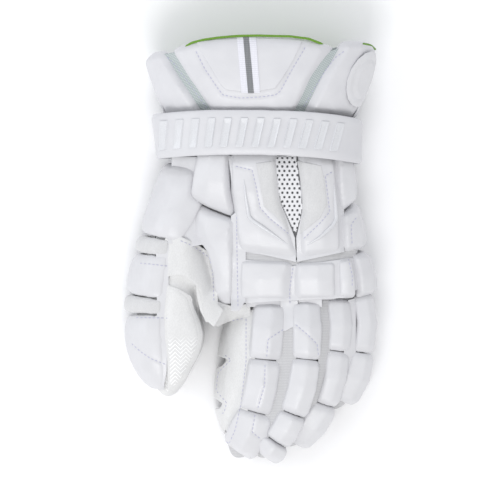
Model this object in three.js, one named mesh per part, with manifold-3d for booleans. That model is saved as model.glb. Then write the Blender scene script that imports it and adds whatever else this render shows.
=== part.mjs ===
// A left-hand lacrosse glove, lying palm down.
// +Z is the back of the hand, -Y the fingertips, +Y the cuff's mouth and -X the thumb.
import * as THREE from "three";
import Module from "manifold-3d";

const wasm = await Module();
wasm.setup();

// Driving dimensions, in millimetres and degrees
const cuffLength = 73;
const handLength = 137;
const cuffWidth = 154;
const wristWidth = 116;
const palmWidth = 112;
const cuffHeight = 66;
const wristHeight = 56;
const palmHeight = 48;
const fingerStart = 113;
const seamLevel = 20;
const press = 2;

const wall = 1.6;
const gap = 0.3;
const seat = 0.9;
const padHeight = 11;
const cuffPadHeight = 10;
const thumbPadHeight = 11;
const sheetHeight = 1.5;
const panelHeight = 4.5;
const insetHeight = 2;
const ribbonHeight = 1;
const stripeHeight = 0.5;
const veeHeight = 1.6;
const ridgeHeight = 2.6;
const meshHeight = 1.2;
const badgeHeight = 1.6;
const seamWidth = 1.2;

const strapWidth = 35;
const strapHeight = 3;
const strapPadTuck = 6;
const strapDroop = 4.5;
const strapTilt = 1.9;
const barHeight = 0.9;
const barCount = 11;
const barWidthAngle = 4;
const barSpread = 108;

const ventPitchAcross = 3.6;
const ventPitchAlong = 3.8;
const ventHoleWidth = 1.5;
const ventHoleLength = 2.4;
const ventRim = 1.1;

const ribbonWidth = 14;
const stripeWidth = 4;
const badgeLength = 42;
const badgeAngle = 22;
const webHeight = 1.6;
const webBow = 8;
const squareness = 2.5;

// Leather, cloth and rubber colours
const leatherWhite = "#eeeef2";
const suedeWhite = "#e4e4e4";
const clothGrey = "#c8c8c8";
const knitGrey = "#c0c8c8";
const webbingWhite = "#ededf3";
const stripeGrey = "#8c8c8c";
const rubberGrey = "#d4d6da";

const down = (share) => -handLength * share;
const up = (share) => cuffLength * share;

// A smooth value between the rows of a table, which never overshoots them
function between(rows, column, station) {
  const last = rows.length - 1;
  if (station <= rows[0].station) return rows[0][column];
  if (station >= rows[last].station) return rows[last][column];
  let row = 0;
  while (rows[row + 1].station < station) row += 1;
  const slope = (at) => {
    const run = rows[at + 1].station - rows[at].station;
    return (rows[at + 1][column] - rows[at][column]) / run;
  };
  const tangent = (at) => {
    if (at === 0) return slope(0);
    if (at === last) return slope(last - 1);
    const before = slope(at - 1);
    const after = slope(at);
    return before * after <= 0 ? 0 : (2 * before * after) / (before + after);
  };
  const run = rows[row + 1].station - rows[row].station;
  const t = (station - rows[row].station) / run;
  const rise = rows[row][column] * (1 + 2 * t) * (1 - t) ** 2 + rows[row + 1][column] * t * t * (3 - 2 * t);
  return rise + run * t * (1 - t) * (tangent(row) * (1 - t) - tangent(row + 1) * t);
}

const probe = 0.005;

// A soft tube through squarish sections. Angle 0 is its back, and angles grow towards its sideways side.
class Tube {
  constructor(rows, straight = false) {
    this.straight = straight;
    this.rows = [...rows].sort((a, b) => a.station - b.station);
    this.start = this.rows[0].station;
    this.end = this.rows[this.rows.length - 1].station;
  }

  value(column, station) {
    return between(this.rows, column, station);
  }

  centre(station) {
    const [x, y, z] = ["x", "y", "z"].map((column) => this.value(column, station));
    return new THREE.Vector3(x, y, z);
  }

  frame(station) {
    if (this.straight) {
      return {
        along: new THREE.Vector3(0, -1, 0),
        sideways: new THREE.Vector3(1, 0, 0),
        back: new THREE.Vector3(0, 0, 1),
      };
    }
    const step = (this.end - this.start) * probe;
    const ahead = this.centre(Math.min(station + step, this.end));
    const behind = this.centre(Math.max(station - step, this.start));
    const along = ahead.sub(behind).normalize();
    if (along.y > 0) along.negate();
    const sideways = new THREE.Vector3(0, 0, 1).cross(along).normalize();
    const back = along.clone().cross(sideways).normalize();
    const roll = THREE.MathUtils.degToRad(this.value("roll", station));
    sideways.applyAxisAngle(along, -roll);
    back.applyAxisAngle(along, -roll);
    return { along, sideways, back };
  }

  point(station, angle, offset) {
    const { sideways, back } = this.frame(station);
    const turn = THREE.MathUtils.degToRad(angle);
    const power = 2 / squareness;
    const across = Math.sign(Math.sin(turn)) * Math.abs(Math.sin(turn)) ** power;
    const upward = Math.sign(Math.cos(turn)) * Math.abs(Math.cos(turn)) ** power;
    let side = (this.value("side", station) + offset) * across;
    if (across < 0) side += this.value("flare", station) * across * (0.5 - 0.5 * Math.cos(turn));
    const rise = (this.value("depth", station) + offset) * upward;
    const point = this.centre(station).addScaledVector(sideways, side).addScaledVector(back, rise);
    point.z = Math.max(point.z, this.value("floor", station) + wall - offset);
    return point;
  }

  // The way out of the surface, turned by the share upright towards the tube's back
  outward(station, angle, upright) {
    const { along, back } = this.frame(station);
    const chord = this.point(station, angle + 1, 0).sub(this.point(station, angle - 1, 0));
    const normal = chord.cross(along).normalize();
    if (normal.dot(this.point(station, angle, 0).sub(this.centre(station))) < 0) normal.negate();
    return normal.lerp(back, upright).normalize();
  }
}

// The hand and cuff are one tube, whose station is the height in Y above the strap's middle
const strapLift = strapHeight + gap;

const cuffRows = [
  { along: 1, sway: -0.02, flare: 1 },
  { along: 0.62, sway: -0.02, flare: 0.72 },
  { along: 0.25, sway: 0, flare: 0.16 },
];
const handRows = [
  { along: 0, sway: 0, width: 1.035, height: 1.16, lift: 1 },
  { along: 0.26, sway: 0.02, width: 1.01, height: 1.09, lift: 1 },
  { along: 0.44, sway: 0.058, width: 1, height: 1.04, lift: 0 },
  { along: 0.58, sway: 0.08, width: 1.02, height: 1, lift: 0 },
  { along: 0.78, sway: 0.138, width: 1, height: 0.92, lift: 0 },
  { along: 0.93, sway: 0.166, width: 1, height: 0.8, lift: 0 },
  { along: 1, sway: 0.17, width: 0.9, height: 0.58, lift: 0 },
];

function cuffSection({ along, sway, flare }) {
  const side = (wristWidth + (cuffWidth - wristWidth) * flare) / 2;
  const depth = (wristHeight + (cuffHeight - wristHeight) * flare) / 2;
  const y = up(along);
  return { station: y, x: up(sway), y, z: depth - press + strapLift, side, depth, roll: 0, flare: 0, floor: strapLift };
}

function handSection({ along, sway, width, height, lift }) {
  const wristShare = Math.max(0, 1 - along / handRows[2].along);
  const side = (palmWidth * width * (1 - wristShare) + wristWidth * wristShare) / 2;
  const depth = (palmHeight * height * (1 - wristShare) + wristHeight * wristShare) / 2;
  const floor = strapLift * lift;
  const x = handLength * sway;
  return { station: down(along), x, y: down(along), z: depth - press + floor, side, depth, roll: 0, flare: 0, floor };
}

const hand = new Tube([...cuffRows.map(cuffSection), ...handRows.map(handSection)], true);

// Each finger has its own sizes. Its root is a share of half the palm's width from the hand's middle.
const fingers = {
  index: {
    length: 128, width: 25, height: 38, flare: 30, root: -0.26, cover: 9,
    rows: [
      { along: 0, sway: 0, lift: 0.4, side: 0.94, depth: 0.74, roll: 0, flare: 0 },
      { along: 0.12, sway: 0, lift: 0.4, side: 1, depth: 0.82, roll: -1, flare: 0.5 },
      { along: 0.26, sway: -0.006, lift: 0.42, side: 1, depth: 1, roll: -2, flare: 0.9 },
      { along: 0.38, sway: -0.012, lift: 0.43, side: 1, depth: 1, roll: -3, flare: 1 },
      { along: 0.58, sway: -0.035, lift: 0.4, side: 1, depth: 0.95, roll: -4, flare: 1 },
      { along: 0.74, sway: -0.07, lift: 0.36, side: 1, depth: 0.87, roll: -5, flare: 0.9 },
      { along: 0.88, sway: -0.12, lift: 0.3, side: 0.92, depth: 0.72, roll: -6, flare: 0.6 },
      { along: 0.97, sway: -0.176, lift: 0.26, side: 0.66, depth: 0.5, roll: -6, flare: 0.2 },
      { along: 1, sway: -0.2, lift: 0.25, side: 0.35, depth: 0.28, roll: -6, flare: 0 },
    ],
  },
  middle: {
    length: 128, width: 22, height: 38, flare: 0, root: 0.205, cover: 9,
    rows: [
      { along: 0, sway: 0, lift: 0.4, side: 0.96, depth: 0.76, roll: 3, flare: 0 },
      { along: 0.12, sway: 0, lift: 0.41, side: 1, depth: 0.84, roll: 5, flare: 0 },
      { along: 0.26, sway: -0.002, lift: 0.46, side: 1, depth: 1, roll: 7, flare: 0 },
      { along: 0.38, sway: -0.006, lift: 0.47, side: 1, depth: 1, roll: 8, flare: 0 },
      { along: 0.56, sway: -0.03, lift: 0.46, side: 1, depth: 0.97, roll: 9, flare: 0 },
      { along: 0.73, sway: -0.08, lift: 0.42, side: 1, depth: 0.9, roll: 10, flare: 0 },
      { along: 0.86, sway: -0.15, lift: 0.36, side: 0.96, depth: 0.78, roll: 12, flare: 0 },
      { along: 0.96, sway: -0.225, lift: 0.29, side: 0.7, depth: 0.56, roll: 14, flare: 0 },
      { along: 1, sway: -0.26, lift: 0.27, side: 0.35, depth: 0.3, roll: 14, flare: 0 },
    ],
  },
  ring: {
    length: 120, width: 18.5, height: 29, flare: 0, root: 0.575, cover: 8,
    rows: [
      { along: 0, sway: 0, lift: 0.36, side: 0.96, depth: 0.9, roll: 10, flare: 0 },
      { along: 0.12, sway: 0, lift: 0.38, side: 1, depth: 0.95, roll: 16, flare: 0 },
      { along: 0.26, sway: -0.004, lift: 0.42, side: 1, depth: 1, roll: 22, flare: 0 },
      { along: 0.4, sway: -0.02, lift: 0.42, side: 1, depth: 1, roll: 24, flare: 0 },
      { along: 0.59, sway: -0.05, lift: 0.39, side: 1, depth: 0.98, roll: 26, flare: 0 },
      { along: 0.71, sway: -0.09, lift: 0.34, side: 1, depth: 0.94, roll: 28, flare: 0 },
      { along: 0.85, sway: -0.17, lift: 0.27, side: 0.92, depth: 0.8, roll: 30, flare: 0 },
      { along: 0.96, sway: -0.25, lift: 0.22, side: 0.66, depth: 0.56, roll: 30, flare: 0 },
      { along: 1, sway: -0.28, lift: 0.21, side: 0.35, depth: 0.3, roll: 30, flare: 0 },
    ],
  },
  little: {
    length: 92, width: 16.5, height: 25, flare: 0, root: 0.86, cover: 6.5,
    rows: [
      { along: 0, sway: 0, lift: 0.36, side: 0.82, depth: 0.86, roll: 16, flare: 0 },
      { along: 0.25, sway: 0.035, lift: 0.31, side: 1, depth: 1, roll: 26, flare: 0 },
      { along: 0.52, sway: 0.01, lift: 0.29, side: 1, depth: 1, roll: 28, flare: 0 },
      { along: 0.73, sway: -0.04, lift: 0.26, side: 1, depth: 0.95, roll: 30, flare: 0 },
      { along: 0.88, sway: -0.1, lift: 0.23, side: 0.86, depth: 0.78, roll: 32, flare: 0 },
      { along: 0.97, sway: -0.145, lift: 0.21, side: 0.6, depth: 0.52, roll: 32, flare: 0 },
      { along: 1, sway: -0.16, lift: 0.2, side: 0.35, depth: 0.3, roll: 32, flare: 0 },
    ],
  },
};

// The thumb's back faces -X, so its width stands upright
const thumbShape = {
  length: 172, width: 42, height: 48, start: 0.17, root: -0.95,
  rows: [
    { along: 0, sway: 0, lift: 0.54, side: 0.8, depth: 0.5 },
    { along: 0.15, sway: -0.025, lift: 0.52, side: 0.92, depth: 0.6 },
    { along: 0.33, sway: -0.08, lift: 0.5, side: 1, depth: 0.74 },
    { along: 0.54, sway: -0.1, lift: 0.48, side: 1, depth: 0.93 },
    { along: 0.66, sway: -0.112, lift: 0.47, side: 1, depth: 0.98 },
    { along: 0.77, sway: -0.106, lift: 0.47, side: 0.98, depth: 0.97 },
    { along: 0.87, sway: -0.1, lift: 0.46, side: 0.86, depth: 0.8 },
    { along: 0.96, sway: -0.104, lift: 0.43, side: 0.58, depth: 0.44 },
    { along: 1, sway: -0.106, lift: 0.41, side: 0.3, depth: 0.2 },
  ],
};

function fingerTube({ length, width, height, flare, root, rows }) {
  const startY = -fingerStart;
  const startX = hand.value("x", startY) + (root * palmWidth) / 2;
  return new Tube(rows.map((row) => ({
    station: row.along,
    x: startX + length * row.sway,
    y: startY - length * row.along,
    z: palmHeight * row.lift,
    side: (width / 2) * row.side,
    depth: (height / 2) * row.depth,
    roll: row.roll,
    flare: flare * row.flare,
    floor: 0,
  })));
}

function thumbTube({ length, width, height, start, root, rows }) {
  const startY = down(start);
  const startX = hand.value("x", startY) + (root * palmWidth) / 2;
  return new Tube(rows.map((row) => ({
    station: row.along,
    x: startX + length * row.sway,
    y: startY - length * row.along,
    z: palmHeight * row.lift,
    side: (width / 2) * row.side,
    depth: (height / 2) * row.depth,
    roll: -90,
    flare: 0,
    floor: 0,
  })));
}

const tubes = { thumb: thumbTube(thumbShape) };
for (const [name, shape] of Object.entries(fingers)) tubes[name] = fingerTube(shape);

// A closed solid from points and triangles, turned to face outwards
function solid(points, triangles) {
  let volume = 0;
  for (const [a, b, c] of triangles) volume += points[a].dot(points[b].clone().cross(points[c]));
  const facing = volume > 0 ? triangles : triangles.map(([a, b, c]) => [a, c, b]);
  const vertProperties = new Float32Array(points.flatMap((point) => point.toArray()));
  const triVerts = new Uint32Array(facing.flat());
  return new wasm.Manifold(new wasm.Mesh({ numProp: 3, vertProperties, triVerts }));
}

// Rings of as many points each, joined from one to the next and closed by a point at each end
function closedRings(rings, first, last) {
  const count = rings[0].length;
  const points = [...rings.flat(), first, last];
  const triangles = [];
  const firstAt = points.length - 2;
  const lastAt = points.length - 1;
  for (let ring = 0; ring < rings.length - 1; ring += 1) {
    for (let i = 0; i < count; i += 1) {
      const a = ring * count + i;
      const b = ring * count + ((i + 1) % count);
      triangles.push([a, b, a + count], [b, b + count, a + count]);
    }
  }
  const top = (rings.length - 1) * count;
  for (let i = 0; i < count; i += 1) {
    const next = (i + 1) % count;
    triangles.push([next, i, firstAt], [top + i, top + next, lastAt]);
  }
  return solid(points, triangles);
}

const average = (ring) => ring.reduce((sum, point) => sum.add(point), new THREE.Vector3()).divideScalar(ring.length);

// The tube's solid at an offset from its lining, between two stations. Its rings close up towards a tip.
const tipEase = 1.5;
function filled(tube, offset, { from = tube.start, to = tube.end, sides = 16, steps = 12, tip = false }) {
  const rings = [];
  for (let step = 0; step <= steps; step += 1) {
    const t = step / steps;
    const eased = tip ? 1 - (1 - t) ** tipEase : t;
    const station = from + (to - from) * eased;
    const ring = [];
    for (let side = 0; side < sides; side += 1) ring.push(tube.point(station, (360 * side) / sides, offset));
    rings.push(ring);
  }
  const last = average(rings[rings.length - 1]);
  if (tip) last.addScaledVector(tube.frame(to).along, offset + wall);
  return closedRings(rings, average(rings[0]), last);
}

// A patch's grid is finer at its edges, where its top rounds over
const padLines = [0, 0.1, 0.5, 0.9, 1];
const wrapLines = [0, 0.08, 0.26, 0.5, 0.74, 0.92, 1];
const stripColumns = [0, 0.5, 1];
const sheetLines = [0, 0.2, 0.4, 0.6, 0.8, 1];

function crown(share, rim, edge) {
  const near = Math.min(share, 1 - share, rim) / rim;
  return edge + (1 - edge) * Math.sqrt(1 - (1 - near) ** 2);
}

// A closed solid on a grid: place(u, v, level) is a point of its foot at level 0 and of its top at 1
function gridSolid(place, columns, lines) {
  const points = [];
  const triangles = [];
  const wide = columns.length;
  const layer = wide * lines.length;
  for (const level of [0, 1]) {
    for (const v of lines) for (const u of columns) points.push(place(u, v, level));
  }
  const quad = (a, b, c, d) => triangles.push([a, b, c], [a, c, d]);
  for (let line = 0; line < lines.length - 1; line += 1) {
    for (let column = 0; column < wide - 1; column += 1) {
      const a = line * wide + column;
      quad(a, a + wide, a + wide + 1, a + 1);
      quad(layer + a, layer + a + 1, layer + a + wide + 1, layer + a + wide);
    }
  }
  for (let column = 0; column < wide - 1; column += 1) {
    const a = column;
    const b = layer - wide + column;
    quad(a, a + 1, a + 1 + layer, a + layer);
    quad(b + 1, b, b + layer, b + 1 + layer);
  }
  for (let line = 0; line < lines.length - 1; line += 1) {
    const a = line * wide;
    const b = a + wide - 1;
    quad(a + wide, a, a + layer, a + wide + layer);
    quad(b, b + wide, b + wide + layer, b + layer);
  }
  return solid(points, triangles);
}

// A row of an outline ends at two stations, near and far, and at two angles, from and to.
// Between its ends it may bow, by a station.
function outline(rows, v) {
  const spaced = rows.map((row, at) => ({
    station: at / (rows.length - 1),
    near: row.near ?? row.at,
    far: row.far ?? row.at,
    bow: row.bow ?? 0,
    from: row.from,
    to: row.to,
  }));
  const [near, far, bow, from, to] = ["near", "far", "bow", "from", "to"].map((column) => between(spaced, column, v));
  const at = (u) => ({ station: near + (far - near) * u + 4 * bow * u * (1 - u), angle: from + (to - from) * u });
  return { near, far, from, to, at };
}

// A pad on a tube. Where grow is set it is larger all round, as the room that the pad needs.
function pad(tube, rows, options, grow = 0) {
  const { base = wall + seat, height, far = height, edge = 0.4, upright = 0, rim = 0.25 } = options;
  const { columns = padLines, lines = padLines } = options;
  const foot = (u, v) => {
    const { station, angle } = outline(rows, v).at(u);
    return tube.point(station, angle, base);
  };
  const place = (u, v, level) => {
    const { station, angle } = outline(rows, v).at(u);
    const rise = (height + (far - height) * u) * crown(u, rim, edge) * crown(v, rim, edge);
    const lift = level * rise + (2 * level - 1) * grow;
    const point = foot(u, v).addScaledVector(tube.outward(station, angle, upright), lift);
    const inU = Math.min(Math.max(u, probe), 1 - probe);
    const inV = Math.min(Math.max(v, probe), 1 - probe);
    if (inU !== u) point.addScaledVector(foot(u, v).sub(foot(inU, v)).normalize(), grow);
    if (inV !== v) point.addScaledVector(foot(u, v).sub(foot(u, inV)).normalize(), grow);
    return point;
  };
  return gridSolid(place, columns, lines);
}

// The angle at which the hand's surface lies a share of its half width from the middle
function angleAt(share) {
  return THREE.MathUtils.radToDeg(Math.asin(Math.sign(share) * Math.abs(share) ** (squareness / 2)));
}

const rowsAcross = (rows) => rows.map((row) => ({
  near: row.near ?? row.at,
  far: row.far ?? row.at,
  bow: row.bow ?? 0,
  from: row.fromAngle ?? angleAt(row.from),
  to: row.toAngle ?? angleAt(row.to),
}));

// Outlines on the hand and on the cuff, whose stations are shares of their lengths
const rowsAlong = (rows, along) => rowsAcross(rows).map((row) => {
  const [near, far, bow] = [row.near, row.far, row.bow].map(along);
  return { ...row, near, far, bow };
});
const handRowsAt = (rows) => rowsAlong(rows, down);
const cuffRowsAt = (rows) => rowsAlong(rows, up);

// A box from its two corners
function box(low, high) {
  const size = new THREE.Vector3().subVectors(high, low);
  const geometry = new THREE.BoxGeometry(size.x, size.y, size.z);
  geometry.translate(...new THREE.Vector3().addVectors(low, high).divideScalar(2).toArray());
  const corners = geometry.getAttribute("position");
  const points = [];
  const merged = [];
  for (let i = 0; i < corners.count; i += 1) {
    const corner = new THREE.Vector3().fromBufferAttribute(corners, i);
    let at = points.findIndex((point) => point.distanceTo(corner) < gap / 10);
    if (at < 0) at = points.push(corner) - 1;
    merged.push(at);
  }
  const index = geometry.getIndex();
  const triangles = [];
  for (let i = 0; i < index.count; i += 3) triangles.push([0, 1, 2].map((k) => merged[index.getX(i + k)]));
  return solid(points, triangles);
}

const leather = { colour: leatherWhite, roughness: 0.55 };
const suede = { colour: suedeWhite, roughness: 0.9 };
const cloth = { colour: clothGrey, roughness: 0.9 };
const knit = { colour: knitGrey, roughness: 0.95 };
const webbing = { colour: webbingWhite, roughness: 0.8 };
const stripe = { colour: stripeGrey, roughness: 0.8 };
const rubber = { colour: rubberGrey, roughness: 0.45 };

const part = new THREE.Group();
const pieces = {};

// The room that each placed pad needs, which later pieces are cut to
const rooms = [];

function keep(name, shape, look) {
  pieces[name] = { shape, ...look };
}

function meets(a, b) {
  const [one, two] = [a.boundingBox(), b.boundingBox()];
  return [0, 1, 2].every((axis) => one.min[axis] < two.max[axis] && two.min[axis] < one.max[axis]);
}

function clearOf(shape, others) {
  const nearby = others.filter((other) => meets(shape, other) && !shape.intersect(other).isEmpty());
  return nearby.length === 0 ? shape : largest(cutAll(shape, nearby));
}

function keepPad(name, tube, rows, options, look, cutters = []) {
  const shape = clearOf(pad(tube, rows, options), [...rooms, ...cutters]);
  rooms.push(pad(tube, rows, options, gap));
  keep(name, shape, look);
}

// The strap's middle is at station 0. The lining meets the palm's wrist edge under it.
const strapTop = strapWidth / 2;
const liningEnd = strapTop - strapPadTuck / 2;
const shellSteps = { sides: 18, steps: 8 };
const handEnd = down(1);

function handSolid(offset, from = liningEnd) {
  return filled(hand, offset, { from, to: handEnd, ...shellSteps, tip: true });
}

const fingerSolid = (name, offset) => filled(tubes[name], offset, { sides: 10, steps: 7, tip: true });
const hollowStart = 0.03;
const hollowShape = { from: hollowStart, sides: 8, steps: 5, tip: true };
const fingerHollow = (name, offset) => filled(tubes[name], offset, hollowShape);
const neighbours = { index: ["middle"], middle: [], ring: ["middle"], little: ["ring", "middle"], thumb: [] };
const digits = Object.keys(neighbours);

const handInside = handSolid(0, liningEnd + wall);
const handAround = handSolid(wall + gap, liningEnd + wall);

function cutAll(shape, cutters) {
  return cutters.reduce((rest, cutter) => rest.subtract(cutter), shape);
}

// Sleeves close on their own wall where the next finger presses into them
function sleeve(name) {
  const outer = cutAll(fingerSolid(name, wall), neighbours[name].map((next) => fingerSolid(next, wall + gap)));
  const inner = cutAll(fingerHollow(name, 0), neighbours[name].map((next) => fingerSolid(next, 2 * wall + gap)));
  return largest(outer.subtract(inner).subtract(handInside));
}

// A cut can leave crumbs beside the piece: the piece is the largest
function largest(shape) {
  const all = shape.decompose();
  return all.sort((a, b) => b.volume() - a.volume())[0];
}

const around = {};
for (const name of digits) around[name] = fingerSolid(name, wall + gap);

// Hand shell
function handShell() {
  const shell = handSolid(wall).subtract(handInside);
  return cutAll(shell, digits.map((name) => around[name]));
}

const reach = handLength + cuffWidth;
const shell = handShell();
const palmBox = box(new THREE.Vector3(-reach, -reach, -reach), new THREE.Vector3(reach, reach, seamLevel - gap / 2));
const backBox = box(new THREE.Vector3(-reach, -reach, seamLevel + gap / 2), new THREE.Vector3(reach, reach, reach));
keep("palm_leather", largest(shell.intersect(palmBox)), suede);

// Vent mesh between the two plates, in rows of staggered holes
const plateTop = 0.13;
const ventOverlap = 0.03;
const ventRows = [
  { at: plateTop, from: 0.2, to: 0.42 },
  { at: 0.36, from: 0.16, to: 0.39 },
  { at: 0.46, from: 0.21, to: 0.35 },
  { at: 0.56, from: 0.265, to: 0.285 },
];

function ventPanel(base, height, inset) {
  const rows = ventRows.map((row) => ({ ...row, from: row.from + inset, to: row.to - inset }));
  return pad(hand, handRowsAt(rows), { base, height, edge: 1, columns: sheetLines, lines: sheetLines });
}

function ventHoles() {
  const holes = [];
  const top = down(plateTop);
  const length = top - down(ventRows[ventRows.length - 1].at);
  const lines = Math.floor((length - ventRim) / ventPitchAlong);
  const edges = handRowsAt(ventRows).map(({ near, from, to }) => ({ station: -near, from, to }));
  for (let line = 0; line < lines; line += 1) {
    const station = top - ventRim - (line + 0.5) * ventPitchAlong;
    const left = hand.point(station, between(edges, "from", -station), 0);
    const right = hand.point(station, between(edges, "to", -station), 0);
    const wide = right.x - left.x - 2 * ventRim;
    const count = Math.floor(wide / ventPitchAcross + (line % 2) / 2);
    for (let at = 0; at < count; at += 1) {
      const x = (left.x + right.x) / 2 + (at - (count - 1) / 2) * ventPitchAcross;
      const low = new THREE.Vector3(x - ventHoleWidth / 2, station - ventHoleLength / 2, palmHeight / 2);
      const high = new THREE.Vector3(x + ventHoleWidth / 2, station + ventHoleLength / 2, 2 * palmHeight);
      holes.push(box(low, high));
    }
  }
  return holes;
}

// Back pads. Slanted ends have a near station on the thumb's side and a far one on the little finger's.
const backTop = (strapTop - strapPadTuck) / handLength;
const backLean = 0.35;

const backPads = {
  thumb_side_pad_upper: {
    rows: [
      { at: backTop, from: -0.76, to: -0.4 },
      { near: 0.27, far: 0.29, from: -0.87, to: -0.45 },
      { near: 0.355, far: 0.455, from: -0.93, to: -0.48 },
    ],
  },
  thumb_side_pad_lower: {
    rows: [
      { near: 0.375, far: 0.475, from: -0.93, to: -0.48 },
      { near: 0.5, far: 0.57, from: -0.97, to: -0.51 },
      { near: 0.66, far: 0.69, from: -0.86, to: -0.6 },
      { near: 0.93, far: 0.93, from: -0.93, to: -0.76 },
    ],
  },
  back_plate_thumb: {
    rows: [
      { at: backTop, from: -0.38, to: 0.18 },
      { at: 0.37, from: -0.45, to: 0.14 },
      { at: 0.48, from: -0.47, to: 0.19 },
      { near: 0.645, far: 0.685, from: -0.49, to: 0.22 },
    ],
  },
  back_plate_little: {
    rows: [
      { at: backTop, from: 0.44, to: 0.85 },
      { at: 0.37, from: 0.41, to: 0.83 },
      { at: 0.52, from: 0.31, to: 0.79 },
      { near: 0.685, far: 0.65, from: 0.25, to: 0.75 },
    ],
  },
  outer_pad_upper: {
    rows: [
      { at: backTop, from: 0.88, toAngle: 98 },
      { at: 0.27, from: 0.86, toAngle: 98 },
      { near: 0.43, far: 0.34, from: 0.85, toAngle: 98 },
    ],
  },
  outer_pad_lower: {
    rows: [
      { near: 0.45, far: 0.36, from: 0.85, toAngle: 98 },
      { at: 0.52, from: 0.82, toAngle: 100 },
      { near: 0.65, far: 0.62, from: 0.79, toAngle: 100 },
    ],
  },
  knuckle_pad_1: {
    rows: [
      { near: 0.69, far: 0.705, from: -0.52, to: 0.12 },
      { near: 0.8, far: 0.8, from: -0.6, to: 0.05 },
      { near: 0.915, far: 0.91, from: -0.66, to: 0 },
    ],
  },
  knuckle_pad_2: {
    rows: [
      { near: 0.71, far: 0.7, from: 0.15, to: 0.66 },
      { near: 0.8, far: 0.8, from: 0.08, to: 0.6 },
      { near: 0.91, far: 0.905, from: 0.03, to: 0.57 },
    ],
  },
  knuckle_pad_3: {
    rows: [
      { near: 0.69, far: 0.68, from: 0.7, to: 0.84 },
      { near: 0.8, far: 0.8, from: 0.64, to: 0.82 },
      { near: 0.9, far: 0.895, from: 0.6, to: 0.8 },
    ],
  },
  knuckle_pad_4: {
    rows: [
      { near: 0.67, far: 0.64, from: 0.88, toAngle: 98 },
      { at: 0.78, from: 0.86, toAngle: 98 },
      { near: 0.895, far: 0.86, from: 0.84, toAngle: 98 },
    ],
  },
};

const longLines = [0, 0.1, 0.26, 0.45, 0.64, 0.8, 0.92, 1];
for (const [name, { rows }] of Object.entries(backPads)) {
  const lines = name.startsWith("thumb_side") || name.startsWith("back_plate") ? longLines : padLines;
  const cutters = [handAround, around.thumb];
  keepPad(name, hand, handRowsAt(rows), { height: padHeight, upright: backLean, lines }, leather, cutters);
}

// Sleeves, cut to the knuckle pads where they come out of the hand
for (const name of digits) keep(`${name}_sleeve`, clearOf(sleeve(name), rooms), name === "thumb" ? suede : cloth);

const vent = cutAll(ventPanel(wall + seat, meshHeight, 0), ventHoles());
keep("vent_mesh", clearOf(vent, rooms), webbing);
const ventWindow = ventPanel(-wall, 3 * wall, ventOverlap);
keep("back_fabric", largest(shell.intersect(backBox).subtract(ventWindow)), cloth);

// Overlays on the plates: a vee of leather along the mesh and a raised chevron near the plate's middle
const overlayGap = 0.6;
const plateSeat = wall + seat + padHeight + overlayGap;
const overlays = {
  vee_thumb: {
    height: veeHeight,
    rows: [
      { at: 0.17, from: -0.1, to: 0.1 },
      { at: 0.28, from: -0.1, to: 0.09 },
      { at: 0.4, from: -0.08, to: 0.1 },
      { at: 0.47, from: 0.05, to: 0.14 },
      { at: 0.56, from: 0.15, to: 0.17 },
    ],
  },
  vee_little: {
    height: veeHeight,
    rows: [
      { at: 0.18, from: 0.48, to: 0.7 },
      { at: 0.28, from: 0.47, to: 0.7 },
      { at: 0.39, from: 0.46, to: 0.68 },
      { at: 0.47, from: 0.42, to: 0.56 },
      { at: 0.56, from: 0.37, to: 0.4 },
    ],
  },
  ridge_thumb: {
    height: ridgeHeight,
    rows: [
      { at: 0.26, from: -0.3, to: -0.27 },
      { at: 0.43, from: -0.36, to: -0.29 },
      { at: 0.49, from: -0.34, to: -0.19 },
      { at: 0.545, from: -0.15, to: -0.03 },
      { at: 0.6, from: 0.08, to: 0.12 },
    ],
  },
  ridge_little: {
    height: ridgeHeight,
    rows: [
      { at: 0.27, from: 0.75, to: 0.77 },
      { at: 0.43, from: 0.71, to: 0.76 },
      { at: 0.49, from: 0.64, to: 0.74 },
      { at: 0.545, from: 0.53, to: 0.61 },
      { at: 0.6, from: 0.41, to: 0.44 },
    ],
  },
};
for (const [name, { height, rows }] of Object.entries(overlays)) {
  const options = { base: plateSeat, height, edge: 0.6, upright: backLean, columns: stripColumns, lines: wrapLines };
  keep(name, pad(hand, handRowsAt(rows), options), leather);
}

// Finger pads, from the knuckle to the tip
const padBreaks = {
  index: [0.11, 0.435, 0.735, 0.975],
  middle: [0.11, 0.435, 0.735, 0.885, 0.985],
  ring: [0.1, 0.41, 0.71, 0.97],
  little: [0.07, 0.54, 0.93],
};
const padSpread = { index: [-34, 44], middle: [-38, 38], ring: [-34, 38], little: [-34, 40] };
const tipSpread = 1.5;

function fingerPads(name) {
  const breaks = padBreaks[name];
  const [from, to] = padSpread[name];
  const tube = tubes[name];
  const half = seamWidth / 2 / fingers[name].length;
  for (let at = 0; at < breaks.length - 1; at += 1) {
    const last = at === breaks.length - 2;
    const spread = last ? tipSpread : 1;
    const start = breaks[at] + half;
    const end = breaks[at + 1] - half;
    const rows = [
      { at: start, from, to },
      { at: (start + end) / 2, from: from * (1 + spread) / 2, to: to * (1 + spread) / 2 },
      { at: end, from: from * spread, to: to * spread },
    ];
    const options = { height: fingers[name].cover, upright: last ? 0.15 : 0.6, rim: 0.3 };
    keepPad(`${name}_pad_${at + 1}`, tube, rows, options, leather, [handAround, ...Object.values(around)]);
  }
}
for (const name of Object.keys(fingers)) fingerPads(name);

// Index side panel, on the sloping thumb side of the index finger
const sidePanelRows = [
  { near: 0.22, far: 0.17, from: -126, to: -42 },
  { near: 0.42, far: 0.42, from: -128, to: -42 },
  { near: 0.7, far: 0.7, from: -124, to: -50 },
  { near: 0.95, far: 0.95, from: -112, to: -64 },
];
const panelOptions = { height: panelHeight, edge: 0.5, columns: wrapLines, lines: longLines };
keepPad("index_side_panel", tubes.index, sidePanelRows, panelOptions, suede, [handAround, around.thumb]);

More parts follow.
